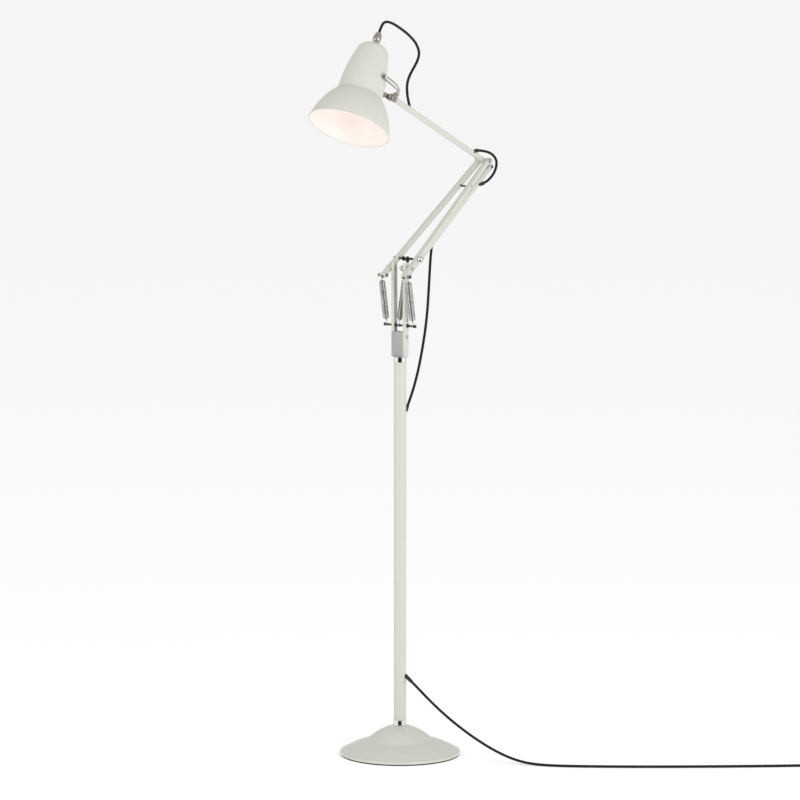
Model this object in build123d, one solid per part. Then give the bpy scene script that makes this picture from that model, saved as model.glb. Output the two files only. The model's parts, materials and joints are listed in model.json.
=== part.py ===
from build123d import *

import os
from math import atan2, cos, degrees, pi, radians, sin, tan

# Adjustable arm floor lamp, in millimetres. The origin is the centre of the base's underside, +Z is up.
# The arms fold in the XZ plane, every arm pivot turns about a line along Y, and the lower arm leans to +X.

# ---------------------------------------------------------------- driving sizes
# base
base_radius = 140.0
pad_thickness = 3.0
pad_inset = 2.0
base_wall = 1.2
rim_height = 6.5
crease_radius = 76.0
crease_height = 35.0
flange_bulge = 2.3
dome_bulge = 4.5
dome_top = 69.0
weight_height = 26.0

# pole and its fittings
pole_radius = 14.5
pole_wall = 1.5
pole_top = 923.0
collar_height = 12.5
collar_flare = 2.3
collar_wall = 0.95
collar_lip = 1.3
boss_radius = 11.0
spindle_radius = 7.0
bush_length = 46.0
lead_exit_height = 186.0
feed_exit_height = 808.0

# fork
fork_half_width = 20.0
channel_depth = 8.0
channel_width = 14.0
channel_wall = 1.2
block_height = 58.0
shoulder_height = 1140.6
upright_overrun = 13.0
anchor_height = 1007.8
anchor_half_length = 41.0
anchor_radius = 2.5
thread_depth = 0.5
spare_hole_rise = 13.0
spare_hole_radius = 4.0
rivet_height = 982.0

# arms
lower_arm_length = 414.0
lower_arm_angle = 32.1
upper_arm_length = 420.0
upper_arm_angle = 24.65
bar_size = 11.5
bar_wall = 1.2
bar_corner = 1.6
rail_offset_shoulder = 28.2
rail_offset_elbow = 11.7
rail_tail = 35.0
rail_nose = 8.5
arm_tube_width = 10.5
crank_length = 30.0
crank_angle = -32.0
link_width = 10.5
link_offset_crank = -5.4
link_offset_elbow = -1.5
crank_thickness = 2.5
tongue_thickness = 3.0
pivot_radius = 3.0
cross_bolt_reach = 34.0
rail_spacer_reach = 317.0
spacer_radius = 2.2

# springs
tail_pin_reach = 27.3
tail_pin_drop = 2.0
tail_pin_end = 42.6
spring_offset = 36.8
middle_spring_offset = 2.0
spring_radius = 7.6
spring_bore = 5.2
spring_wire = 1.6
spring_hook = 11.0

# head
shade_length = 208.0
shade_rim_radius = 93.7
shade_waist_height = 84.2
shade_waist_radius = 51.8
shade_neck_height = 190.0
shade_neck_radius = 37.2
shade_neck_taper = 2.9
shade_top_radius = 25.0
shade_wall = 1.2
shade_tilt = 31.9
shade_turn = 1.2
shade_centre = (-210.5, 0.0, 1480.6)
tilt_pivot_height = 132.0
yoke_thickness = 2.0
yoke_width = 12.0
yoke_reach = 53.6
yoke_tab = 9.0
holder_radius = 19.0
bulb_radius = 30.0
bulb_centre_height = 112.0
grip_screw_radius = 2.6

# cords
cord_diameter = 6.2
grommet_wall = 1.6
lead_relief_length = 22.0
cord_hole_radius = 3.5
sleeve_radius = 4.5
sleeve_reach = 21.0
lead_heading = -56.0
coil_mean_radius = 34.0
coil_rows = 3
coil_layers = 2

# clearances
run_clear = 0.05
slide_gap = 0.3
face_gap = 0.1

# ---------------------------------------------------------------- places worked out from the sizes
collar_radius = pole_radius + collar_flare
block_bottom = pole_top + collar_height
block_top = block_bottom + block_height
shoulder = Vector(0, 0, shoulder_height)
arm_along = Vector(cos(radians(lower_arm_angle)), 0, sin(radians(lower_arm_angle)))
elbow = shoulder + arm_along * lower_arm_length
reach_along = Vector(-cos(radians(upper_arm_angle)), 0, sin(radians(upper_arm_angle)))
head_joint = elbow + reach_along * upper_arm_length
crank = Vector(cos(radians(crank_angle)), 0, sin(radians(crank_angle))) * crank_length
crank_low = shoulder + crank
crank_high = elbow + crank
web_inner = fork_half_width - channel_wall
channel_inner = fork_half_width - channel_depth
arm_normal = Vector(-sin(radians(lower_arm_angle)), 0, cos(radians(lower_arm_angle)))
tail_pin = shoulder - arm_along * tail_pin_reach - arm_normal * tail_pin_drop
cross_bolt_place = shoulder + arm_along * cross_bolt_reach + arm_normal * 1.5
shade_axis = Vector(sin(radians(shade_tilt)), 0, cos(radians(shade_tilt)))
tilt_pivot = Vector(*shade_centre) + shade_axis * tilt_pivot_height
cord_radius = cord_diameter / 2


# ---------------------------------------------------------------- helpers
def y_rod(place, y_start, y_end, radius):
    """A round bar along Y through a place in the XZ plane."""
    frame = Plane(origin=(place.X, y_start, place.Z), z_dir=(0, 1, 0))
    return Solid.make_cylinder(radius, y_end - y_start, frame)


def y_ring(place, y_start, y_end, radius, bore):
    """A washer or sleeve along Y."""
    return y_rod(place, y_start, y_end, radius) - y_rod(place, y_start - 1, y_end + 1, bore)


def y_hex(place, y_start, y_end, across):
    """A hexagon nut or head along Y."""
    frame = Plane(origin=(place.X, y_start, place.Z), z_dir=(0, 1, 0))
    return frame.location * extrude(RegularPolygon(across / 2, 6, major_radius=False), y_end - y_start)


def rod_between(start, end, radius):
    """A round bar from one point to another."""
    start = Vector(*start)
    line = Vector(*end) - start
    return Solid.make_cylinder(radius, line.length, Plane(origin=start, z_dir=line))


def bar_frame(start, end):
    """A frame at the bar's start with x along the bar and z on its upper side."""
    along = (end - start).normalized()
    side = Vector(0, 0, 1).cross(along).normalized()
    return Plane(origin=start, x_dir=along, z_dir=along.cross(side))


def bar_solid(x_start, x_end, width, height, corner, round_start=False, round_end=False):
    """A bar along local x with softened long edges, and ends that may be rounded in side view."""
    section = Plane.YZ * RectangleRounded(width, height, corner)
    bar = Pos(x_start, 0, 0) * extrude(section, x_end - x_start)
    half = height / 2
    for wanted, tip, inward in ((round_start, x_start, 1), (round_end, x_end, -1)):
        if wanted:
            middle = tip + inward * half
            corner_box = Pos(tip + inward * half / 2, 0, 0) * Box(half, width + 2, height + 2)
            corner_box -= Pos(middle, 0, 0) * Rot(90, 0, 0) * Cylinder(half, width + 4)
            bar -= corner_box
    return bar


def box_tube(x_start, x_end, width, height, closed_start, closed_end, round_start, round_end):
    """A square tube along local x. closed_start and closed_end are the lengths of solid left at its ends."""
    outer = bar_solid(x_start, x_end, width, height, bar_corner, round_start, round_end)
    hollow = bar_solid(x_start + closed_start, x_end - closed_end, width - 2 * bar_wall,
                       height - 2 * bar_wall, bar_corner / 2)
    return outer - hollow


def turned(points, frame=None):
    """A solid of revolution about local z from (radius, height) points joined by straight lines."""
    outline = Polyline(*[(r, 0, z) for r, z in points], close=True)
    solid = revolve(make_face(outline), Axis.Z)
    return frame.location * solid if frame else solid


def corner_radii(points):
    """The bend radius at each corner of a cord: 0.45 of the shorter run over the tangent of half the turn."""
    radii = []
    for before, here, after in zip(points, points[1:], points[2:]):
        run_in = Vector(*here) - Vector(*before)
        run_out = Vector(*after) - Vector(*here)
        half_turn = radians(run_in.get_angle(run_out)) / 2
        radii.append(0.45 * min(run_in.length, run_out.length) / tan(half_turn))
    return radii


def cord_tube(name, points):
    """A round cord along straight runs joined by tangent arcs, with its figures printed."""
    radii = corner_radii(points)
    path = FilletPolyline(*points, radius=radii)
    section = Plane(origin=path @ 0, z_dir=path % 0) * Circle(cord_radius)
    tube = sweep(section, path=path)
    volume_ratio = tube.volume / (pi * cord_radius**2 * path.length)
    print(name, "length", round(path.length, 1), "volume ratio", round(volume_ratio, 4),
          "radii", [round(r) for r in radii])
    return tube


def cord_passage(points, radius):
    """The room that a cord takes up when it is thickened to a radius, for holes and sleeves round it."""
    path = FilletPolyline(*points, radius=corner_radii(points))
    return sweep(Plane(origin=path @ 0, z_dir=path % 0) * Circle(radius), path=path)


def grommet(points, length, radius):
    """A tapered rubber grommet where a cord leaves the pole. It starts inside the pole's wall."""
    start = Vector(*points[0])
    line = (Vector(*points[1]) - start).normalized()
    outside = [(cord_radius, 0), (radius, 0), (radius - 0.7, length), (cord_radius, length)]
    return turned(outside, Plane(origin=start, z_dir=line))


def cord_sleeve(points, bar):
    """A rubber sleeve round the end of the elbow cord, starting at the bar that the cord comes out of."""
    around = Pos(*points[0]) * Sphere(sleeve_reach)
    sleeve = (cord_passage(points, sleeve_radius) & around) - cord_passage(points, cord_radius)
    return sleeve - bar


def moved_about_head(shape):
    """Turns a head piece about the arm's own axis, the way the head stands at rest."""
    return shape.rotate(Axis(head_joint, reach_along), shade_turn)


# ---------------------------------------------------------------- stand
def outer_base_edges(shrink):
    """The base's outline from rim to neck, shrunk inwards by a wall thickness."""
    rim = base_radius - shrink
    rim_top = (base_radius - 4.0 - shrink, rim_height + 3.5 - shrink)
    crease = (crease_radius - shrink * 0.4, crease_height - shrink)
    neck = (pole_radius + 0.6, dome_top - shrink)
    flange_middle = ((rim_top[0] + crease[0]) / 2 + flange_bulge * 0.4,
                     (rim_top[1] + crease[1]) / 2 + flange_bulge)
    dome_middle = ((crease[0] + neck[0]) / 2 + dome_bulge * 0.4, (crease[1] + neck[1]) / 2 + dome_bulge)
    rim_edge = (rim, rim_height - 0.5 * shrink)
    return rim_edge, rim_top, flange_middle, crease, dome_middle, neck


def base_cover():
    """The spun steel cover: a rolled rim, a shallow convex flange and a low dome round the pole."""
    rim, rim_top, flange_middle, crease, dome_middle, neck = outer_base_edges(0)
    in_rim, in_rim_top, in_flange, in_crease, in_dome, in_neck = outer_base_edges(base_wall)

    def at(point):
        return (point[0], 0, point[1])

    foot_z = pad_thickness
    outline = [
        Line(at((in_rim[0], foot_z)), at((rim[0] - 0.6, foot_z))),
        Line(at((rim[0] - 0.6, foot_z)), at((rim[0], foot_z + 0.8))),
        Line(at((rim[0], foot_z + 0.8)), at(rim)),
        ThreePointArc(at(rim), at((rim[0] - 0.9, rim[1] + 2.0)), at(rim_top)),
        ThreePointArc(at(rim_top), at(flange_middle), at(crease)),
        ThreePointArc(at(crease), at(dome_middle), at(neck)),
        Line(at(neck), at(in_neck)),
        ThreePointArc(at(in_neck), at(in_dome), at(in_crease)),
        ThreePointArc(at(in_crease), at(in_flange), at(in_rim_top)),
        ThreePointArc(at(in_rim_top), at((in_rim[0] - 0.9, in_rim[1] + 1.6)), at(in_rim)),
        Line(at(in_rim), at((in_rim[0], foot_z))),
    ]
    return revolve(make_face(Wire(outline)), Axis.Z)


def base_weight():
    """The cast iron disc inside the cover."""
    low = pad_thickness
    rim = base_radius - base_wall - 3.0
    profile = [(boss_radius + 0.2, low), (rim, low), (rim, low + 2.5),
               (crease_radius + 20.0, weight_height - 9.0), (crease_radius - 18.0, weight_height),
               (boss_radius + 0.2, weight_height)]
    return turned(profile)


def base_pad():
    """The felt and rubber foot under the base."""
    return Pos(0, 0, pad_thickness / 2) * Cylinder(base_radius - pad_inset, pad_thickness)


def pole():
    """The upright tube, with one side hole for the lead and one for the cord to the arm."""
    low = weight_height + 2.0
    length = pole_top - low
    tube = Pos(0, 0, low + length / 2) * (Cylinder(pole_radius, length) - Cylinder(pole_radius - pole_wall, length))
    for points in (lead_points, feed_lower_points):
        tube -= rod_between(points[0], points[1], cord_radius + grommet_wall + run_clear)
    return tube


def pole_boss():
    """The steel boss that ties the pole to the weight: a flange on the weight and a plug in the pole."""
    profile = [(0, pad_thickness + 8), (boss_radius, pad_thickness + 8), (boss_radius, weight_height),
               (pole_radius + 6.0, weight_height), (pole_radius + 6.0, weight_height + 2.0),
               (pole_radius - pole_wall, weight_height + 2.0), (pole_radius - pole_wall, dome_top + 8.0),
               (0, dome_top + 8.0)]
    boss = turned(profile)
    return boss - Pos(0, 0, 30) * Cylinder(4.0, 50)


def pole_bolt():
    """The hexagon bolt under the base that draws the boss down."""
    shank = Pos(0, 0, 29.0) * Cylinder(4.0 - run_clear, 36.0)
    head = Pos(0, 0, pad_thickness + 2.0) * extrude(RegularPolygon(6.5, 6, major_radius=False), 6.0)
    return shank + head


def tapered_collar(bottom, low_radius, high_radius):
    """A thin chrome collar round the pole."""
    bore = pole_radius + run_clear
    top = bottom + collar_height
    profile = [(bore, bottom), (low_radius, bottom), (low_radius, bottom + collar_lip),
               (high_radius, top - collar_lip), (high_radius, top), (bore, top)]
    return turned(profile)


def swivel_bush():
    """The nylon bush in the pole's top that the fork's spindle turns in."""
    low = pole_top - bush_length
    outer = pole_radius - pole_wall
    profile = [(spindle_radius + run_clear, low), (outer, low), (outer, pole_top),
               (pole_radius, pole_top), (pole_radius, pole_top + 2.0), (spindle_radius + run_clear, pole_top + 2.0)]
    return turned(profile)


# ---------------------------------------------------------------- fork
def upright(side):
    """One pressed channel of the fork, open inwards, its foot narrowed to the collar."""
    low = block_bottom + 1.0
    high = shoulder_height + upright_overrun
    middle_y = side * (fork_half_width - channel_depth / 2)
    length = high - low
    outer = Pos(0, middle_y, low + length / 2) * Box(channel_width, channel_depth, length)
    outer = fillet(outer.edges().filter_by(Axis.Z).group_by(Axis.Y)[-1 if side > 0 else 0], 1.4)
    inside_y = side * (channel_inner - channel_wall + (channel_depth) / 2)
    hollow = Pos(0, inside_y, low + length / 2) * Box(channel_width - 2 * channel_wall, channel_depth, length + 2)
    channel = outer - hollow
    foot = 16.0
    for x_side in (-1, 1):
        wedge = make_face(Polyline(
            (x_side * (channel_width / 2 + 0.1), 0, low - 0.1),
            (x_side * (channel_width / 2 + 0.1), 0, low + foot),
            (x_side * (channel_width / 2 - 2.6), 0, low - 0.1), close=True))
        channel -= Pos(0, side * fork_half_width + 15, 0) * extrude(wedge, 30)
    top = Vector(0, 0, shoulder_height)
    channel -= y_rod(top, -40, 40, pivot_radius + run_clear)
    channel -= y_rod(Vector(0, 0, anchor_height), -40, 40, anchor_radius + run_clear)
    channel -= y_rod(Vector(0, 0, anchor_height + spare_hole_rise), -40, 40, spare_hole_radius)
    channel -= y_rod(Vector(0, 0, rivet_height), -40, 40, 2.6)
    if side > 0:
        notch_height = block_top - low + 1
        notch = Pos(-channel_width / 2, middle_y, low - 1 + notch_height / 2)
        channel -= notch * Box(2 * channel_wall + 2.0, channel_depth + 10, notch_height)
    return channel


def swivel_block():
    """The grey casting between the uprights, with the spindle that turns in the pole."""
    half = web_inner - face_gap
    depth = channel_width - 2 * channel_wall - 2 * face_gap
    middle = block_bottom + block_height / 2
    core = Pos(0, 0, middle) * Box(depth, 2 * half, block_height)
    boss = Pos(-channel_width / 2 + 0.9, (half - channel_inner + 0.2) / 2, middle)
    plate = boss * Box(3.4, half + channel_inner - 0.2, block_height)
    waist = Pos(channel_width / 2 - 0.6, 0, middle) * Box(3.4, 2 * channel_inner - 0.4, block_height)
    block = core + plate + waist
    block += Pos(0, 0, block_bottom + 0.5) * Cylinder(collar_radius - 2.4, 1.0)
    block -= Pos(-channel_width / 2 - 1.6, 0, block_top - 12) * Rot(0, 90, 0) * Cylinder(0.9, 3)
    for bar in range(5):
        block += Pos(-channel_width / 2 - 0.8, 4.0, block_bottom + 12 + 7.5 * bar) * Box(0.7, 14, 1.6)
    spindle = Pos(0, 0, pole_top + 2.0 - bush_length / 2) * Cylinder(spindle_radius, bush_length + 8.0)
    block += spindle
    block += Pos(0, 0, block_bottom - 3.0) * Cylinder(spindle_radius + 3.0, 7.0)
    return block - y_rod(Vector(0, 0, rivet_height), -40, 40, 2.6 - run_clear)


def spindle_clip():
    """The retaining ring under the bush."""
    middle = pole_top - bush_length - 1.5
    ring = Cylinder(spindle_radius + 3.0, 1.2) - Cylinder(spindle_radius, 2)
    return Pos(0, 0, middle) * ring


def fork_rivets():
    """Two countersunk rivets that hold the uprights on the casting."""
    place = Vector(0, 0, rivet_height)
    rivets = []
    for side in (-1, 1):
        shank = sorted((side * (web_inner - 8), side * fork_half_width))
        head = sorted((side * fork_half_width, side * (fork_half_width + 0.9)))
        rivets.append(y_rod(place, shank[0], shank[1], 2.6 - 2 * run_clear) + y_rod(place, head[0], head[1], 4.6))
    return rivets


def anchor_rod():
    """The rod through the fork that the springs' lower hooks hang on."""
    place = Vector(0, 0, anchor_height)
    rod = y_rod(place, -anchor_half_length, anchor_half_length, anchor_radius)
    for side in (-1, 1):
        head = sorted((side * anchor_half_length, side * (anchor_half_length + 2.4)))
        rod += y_rod(place, head[0], head[1], anchor_radius + 1.3)
    return rod


def anchor_nuts():
    """The four nuts that lock the anchor rod in the uprights."""
    place = Vector(0, 0, anchor_height)
    nuts = []
    for inner, outer in ((web_inner - 3.2, web_inner), (fork_half_width, fork_half_width + 3.2)):
        for side in (-1, 1):
            span = sorted((side * inner, side * outer))
            nuts.append(y_hex(place, span[0], span[1], 8.0) - y_rod(place, span[0] - 1, span[1] + 1, anchor_radius + run_clear))
    return nuts


def rail_face(distance):
    """How far the rails' centre lines stand from the XZ plane, a distance up the arm from the shoulder."""
    spread = rail_offset_shoulder - rail_offset_elbow
    return rail_offset_shoulder - spread * distance / lower_arm_length


def left_shoulder_bolt():
    """The short shouldered bolt that the left rail turns on."""
    outside = rail_offset_shoulder + bar_size / 2 + 0.5
    bolt = y_rod(shoulder, web_inner - 6, outside, pivot_radius)
    bolt += y_hex(shoulder, web_inner - 5.2, web_inner, 9.0)
    return bolt + y_rod(shoulder, outside, outside + 1.6, pivot_radius + 1.6)


def right_shoulder_bolt():
    """The longer bolt that the right rail and the spring crank turn on."""
    outside = rail_offset_shoulder + bar_size / 2 + 0.5
    inside = link_offset_crank + crank_thickness / 2 + 0.4
    bolt = y_rod(shoulder, -outside, inside + 2.6, pivot_radius)
    bolt += y_rod(shoulder, -outside - 1.6, -outside, pivot_radius + 1.6)
    bolt -= y_rod(shoulder, -outside - 3, -outside - 0.4, 1.6)
    return bolt + y_hex(shoulder, inside, inside + 2.8, 8.0)


def shoulder_spacers():
    """Washers between the uprights and the rails, and the sleeve behind the crank."""
    reach = rail_offset_shoulder - bar_size / 2 - slide_gap
    crank_back = link_offset_crank - crank_thickness / 2 - face_gap
    bore = pivot_radius + run_clear
    return [
        y_ring(shoulder, fork_half_width, reach, 5.5, bore),
        y_ring(shoulder, -reach, -fork_half_width, 5.5, bore),
        y_ring(shoulder, -web_inner, crank_back, 5.0, bore),
    ]


def spring(bottom, top):
    """A tension spring as its outer sleeve, with coned ends and a round hook at each end."""
    line = top - bottom
    length = line.length
    hook_mean = anchor_radius + slide_gap + spring_wire / 2
    body_low = spring_hook
    body_high = length - spring_hook
    cone = 7.0
    tip = spring_wire * 1.6
    outline = [(tip, body_low), (spring_radius, body_low + cone), (spring_radius, body_high - cone),
               (tip, body_high), (0.6, body_high), (spring_bore, body_high - cone - 1),
               (spring_bore, body_low + cone + 1), (0.6, body_low)]
    frame = Plane(origin=bottom, x_dir=(0, 1, 0), z_dir=line)
    solid = turned(outline)
    for centre, sign in ((0.0, 1), (length, -1)):
        hook = Pos(0, 0, centre) * Rot(0, 90, 0) * Torus(hook_mean, spring_wire / 2)
        stem_start = centre + sign * (hook_mean)
        stem_end = body_low + 1 if sign > 0 else body_high - 1
        low, high = sorted((stem_start, stem_end))
        solid += hook
        solid += Pos(0, 0, (low + high) / 2) * Cylinder(spring_wire / 2, high - low)
    return frame.location * solid


def spring_at(offset, top):
    """A spring from the anchor rod up to a pin, at an offset along Y."""
    return spring(Vector(0, offset, anchor_height), Vector(top.X, offset, top.Z))


# ---------------------------------------------------------------- lower arm
def rail(side):
    """One square tube of the lower arm, running inwards from the shoulder to the elbow."""
    low = Vector(0, side * rail_offset_shoulder, shoulder_height)
    high = Vector(elbow.X, side * rail_offset_elbow, elbow.Z)
    frame = bar_frame(low, high)
    length = (high - low).length
    bar = frame.location * box_tube(-rail_tail, length + rail_nose, bar_size, bar_size, -1.0, 3.0, False, True)
    holes = ((shoulder, pivot_radius + run_clear), (elbow, pivot_radius + run_clear),
             (tail_pin, anchor_radius + run_clear), (cross_bolt_place, anchor_radius + run_clear),
             (shoulder + arm_along * rail_spacer_reach, spacer_radius + run_clear))
    for place, radius in holes:
        bar -= y_rod(place, -60, 60, radius)
    return bar


def tail_pins():
    """The two pins on the rails' tails that carry the outer springs."""
    inner = rail_face(-tail_pin_reach) - bar_size / 2
    pins = []
    for side in (-1, 1):
        span = sorted((side * (inner - 1.2), side * tail_pin_end))
        head = sorted((side * tail_pin_end, side * (tail_pin_end + 1.8)))
        pins.append(y_rod(tail_pin, span[0], span[1], anchor_radius) + y_rod(tail_pin, head[0], head[1], 3.6))
    return pins


def tail_nuts():
    """The nuts on both faces of each rail's tail."""
    centre = rail_face(-tail_pin_reach)
    bore = anchor_radius + run_clear
    nuts = []
    for side in (-1, 1):
        for start in (centre - bar_size / 2 - 3.4, spring_offset + spring_wire / 2 + slide_gap):
            span = sorted((side * start, side * (start + 3.0)))
            nuts.append(y_hex(tail_pin, span[0], span[1], 7.6) - y_rod(tail_pin, span[0] - 1, span[1] + 1, bore))
    return nuts


def cross_bolt():
    """The bolt across the rails that the friction knob draws up."""
    centre = rail_face(cross_bolt_reach)
    left_end = centre + bar_size / 2 + 2.0
    right_end = centre + bar_size / 2 + 7.0
    bolt = y_rod(cross_bolt_place, -right_end, left_end - 1.0, anchor_radius)
    bolt += y_hex(cross_bolt_place, left_end - 1.6, left_end, 7.6)
    for ridge in range(9):
        start = -14.0 + ridge * 3.2
        bolt += y_rod(cross_bolt_place, start, start + 1.6, anchor_radius + thread_depth)
    return bolt


def stop_plate():
    """The small three-cornered plate that hangs from the cross bolt."""
    place = cross_bolt_place
    outline = make_face(Polyline((13.0, 2.5), (-4.5, 2.5), (-4.5, -3.0), (-1.5, -9.0), (2.0, -9.0), close=True))
    plate = extrude(outline, 1.0, both=True)
    frame = Plane(origin=(place.X + anchor_radius + 1.5, 0, place.Z - 1.0), x_dir=(0, 1, 0), z_dir=(1, 0, 0))
    hanger = frame.location * plate
    for start in (-3.0, 8.4):
        hanger += y_rod(place, start, start + 1.6, anchor_radius + 3.2)
    return hanger - y_rod(place, -20, 20, anchor_radius + thread_depth + run_clear)


def rail_spacer():
    """The bent wire spacer between the rails below the elbow."""
    place = shoulder + arm_along * rail_spacer_reach
    half = rail_face(rail_spacer_reach) - bar_size / 2
    points = [(place.X, -half - 1.0, place.Z), (place.X, -half + 0.8, place.Z), (place.X + 1.0, -half + 4, place.Z - 1.5),
              (place.X + 1.0, half - 4, place.Z - 1.5), (place.X, half - 0.8, place.Z), (place.X, half + 1.0, place.Z)]
    path = FilletPolyline(*points, radius=[3.0, 3.0, 3.0, 3.0])
    return sweep(Plane(origin=path @ 0, z_dir=path % 0) * Circle(spacer_radius), path=path)


def elbow_bolt():
    """The through bolt of the elbow."""
    outside = rail_offset_elbow + bar_size / 2 + 0.5
    return y_rod(elbow, -outside - 4.2, outside + 4.2, pivot_radius)


def elbow_nuts():
    """The domed nuts on the elbow bolt."""
    outside = rail_offset_elbow + bar_size / 2 + 0.5
    nuts = []
    for side in (-1, 1):
        span = sorted((side * outside, side * (outside + 3.4)))
        nut = y_hex(elbow, span[0], span[1], 10.0)
        nuts.append(nut - y_rod(elbow, span[0] - 1, span[1] + 1, pivot_radius))
    return nuts


def friction_knob():
    """The chrome domed knob on the cross bolt's end."""
    centre = rail_face(cross_bolt_reach)
    inner = centre + bar_size / 2 + 0.6
    frame = Plane(origin=(cross_bolt_place.X, -inner, cross_bolt_place.Z), z_dir=(0, -1, 0))
    bore = anchor_radius + run_clear
    profile = [(bore, 0), (5.0, 0), (5.0, 2.2), (7.4, 3.0), (7.8, 5.0), (7.2, 8.0), (5.6, 10.2), (3.0, 11.6),
               (0, 12.0), (0, 7.4), (bore, 7.4)]
    return turned(profile, frame)


# ---------------------------------------------------------------- crank, link, upper arm
def crank_plate():
    """The flat crank between the right shoulder bolt and the link's foot."""
    half = crank_thickness / 2
    low_y = link_offset_crank - half
    high_y = link_offset_crank + half
    plate = y_rod(shoulder, low_y, high_y, 6.4) + y_rod(crank_low, low_y, high_y, 5.6)
    frame = Plane(origin=(shoulder.X, link_offset_crank, shoulder.Z), x_dir=crank, z_dir=(0, -1, 0))
    plate += frame.location * Pos(crank_length / 2, 0, 0) * Box(crank_length, 10.4, crank_thickness)
    plate -= y_rod(shoulder, low_y - 1, high_y + 1, pivot_radius + run_clear)
    return plate - y_rod(crank_low, low_y - 1, high_y + 1, anchor_radius)


def crank_pin():
    """The pin through the crank's end, which carries the link and the middle spring."""
    low = link_offset_crank - link_width / 2
    high = link_offset_crank + link_width / 2
    pin = y_rod(crank_low, low - 0.2, high + 4.2, anchor_radius)
    return pin + y_rod(crank_low, low - 1.1, low - 0.15, 4.2) + y_rod(crank_low, high + 4.2, high + 5.6, 3.8)


def link_blank():
    """The link's outside as a plain bar."""
    low = Vector(crank_low.X, link_offset_crank, crank_low.Z)
    high = Vector(crank_high.X, link_offset_elbow, crank_high.Z)
    length = (high - low).length
    return bar_frame(low, high).location * bar_solid(-6.0, length + 6.0, link_width, bar_size, bar_corner)


def link_bar():
    """The square tube beside the right rail, slotted at both ends, that carries the cord inside it."""
    low = Vector(crank_low.X, link_offset_crank, crank_low.Z)
    high = Vector(crank_high.X, link_offset_elbow, crank_high.Z)
    frame = bar_frame(low, high)
    length = (high - low).length
    bar = box_tube(-6.0, length + 6.0, link_width, bar_size, -1.0, -1.0, True, True)
    slot_low = Pos(4.5, 0, 0) * Box(24, crank_thickness + 2 * slide_gap, 20)
    slot_high = Pos(length - 4.5, 0, 0) * Box(24, tongue_thickness + 2 * slide_gap, 20)
    bar = frame.location * (bar - slot_low - slot_high)
    bar -= y_rod(crank_low, -40, 40, anchor_radius + run_clear)
    bar -= y_rod(crank_high, -40, 40, anchor_radius + run_clear)
    return bar - cord_passage(feed_upper_points, cord_hole_radius) - cord_passage(elbow_cord_points, cord_hole_radius)


def upper_arm_blank():
    """The upper arm's outside as a plain bar."""
    bar = bar_solid(-8.0, upper_arm_length - 12.0, arm_tube_width, bar_size, bar_corner)
    return bar_frame(elbow, head_joint).location * bar


def upper_arm_tube():
    """The single square tube of the upper arm."""
    frame = bar_frame(elbow, head_joint)
    tube = box_tube(-8.0, upper_arm_length - 12.0, arm_tube_width, bar_size, -1.0, -1.0, False, False)
    tube = frame.location * tube
    tube -= y_rod(elbow, -30, 30, pivot_radius + run_clear)
    tube -= cord_passage(elbow_cord_points, cord_hole_radius) + cord_passage(head_lower_points, cord_hole_radius)
    small_hole = head_joint - reach_along * 28.0
    return tube - rod_between(small_hole, small_hole - Vector(0.42, 0, 0.91) * 12, 1.6)


def tail_fitting():
    """The steel tongue in the upper arm's tail that the link pulls on."""
    frame = bar_frame(elbow, head_joint)
    gap = 2 * (bar_wall + run_clear)
    fitting = frame.location * bar_solid(-8.0, 16.0, arm_tube_width - gap, bar_size - gap, bar_corner / 2)
    low_y = link_offset_elbow - tongue_thickness / 2
    high_y = link_offset_elbow + tongue_thickness / 2
    tongue_frame = Plane(origin=(elbow.X, link_offset_elbow, elbow.Z), x_dir=crank, z_dir=(0, -1, 0))
    fitting += tongue_frame.location * Pos(crank_length / 2 + 4.0, 0, 0) * Box(
        crank_length - 8.0, 6.8, tongue_thickness)
    fitting += y_rod(crank_high, low_y, high_y, 5.6)
    fitting -= y_rod(elbow, -30, 30, pivot_radius + run_clear)
    return fitting - y_rod(crank_high, low_y - 1, high_y + 1, anchor_radius)


def link_pin():
    """The pin through the tongue that the link's head turns on."""
    low = link_offset_elbow - link_width / 2
    high = link_offset_elbow + link_width / 2
    pin = y_rod(crank_high, low - 0.2, high + 0.2, anchor_radius)
    return pin + y_rod(crank_high, low - 1.5, low - 0.2, 4.0) + y_rod(crank_high, high + 0.2, high + 1.5, 4.0)


def head_plug():
    """The plug in the arm's end with the round spigot that the head swivels on."""
    frame = bar_frame(head_joint, elbow)
    gap = 2 * (bar_wall + run_clear)
    block = bar_solid(12.0, 32.0, arm_tube_width - gap, bar_size - gap, bar_corner / 2)
    shoulder_plate = Pos(11.4, 0, 0) * Box(1.2, arm_tube_width, bar_size)
    spigot = Pos(2.0, 0, 0) * Rot(0, 90, 0) * Cylinder(3.6, 20.0)
    cap = Pos(-9.2, 0, 0) * Rot(0, 90, 0) * Cylinder(5.0, 1.6)
    return frame.location * (block + shoulder_plate + spigot + cap)


# ---------------------------------------------------------------- head
def yoke_casting():
    """The small casting that swivels on the arm's spigot and carries both yoke limbs."""
    frame = bar_frame(head_joint, elbow)
    half = yoke_tab - yoke_thickness / 2 - face_gap
    body = Pos(0.9, 0, 0) * Rot(0, 90, 0) * Cylinder(7.2, 18.4)
    body += Box(13.0, 2 * half, 13.0)
    body = fillet(body.edges().filter_by(Axis.Y), 1.5)
    body -= Pos(0, 0, 0) * Rot(0, 90, 0) * Cylinder(3.6 + run_clear, 40)
    casting = frame.location * body
    for side in (-1, 1):
        casting -= y_rod(head_joint, side * 8 - 4, side * 8 + 4, 2.2) - y_rod(head_joint, -5.2, 5.2, 4)
    return moved_about_head(casting)


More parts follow.
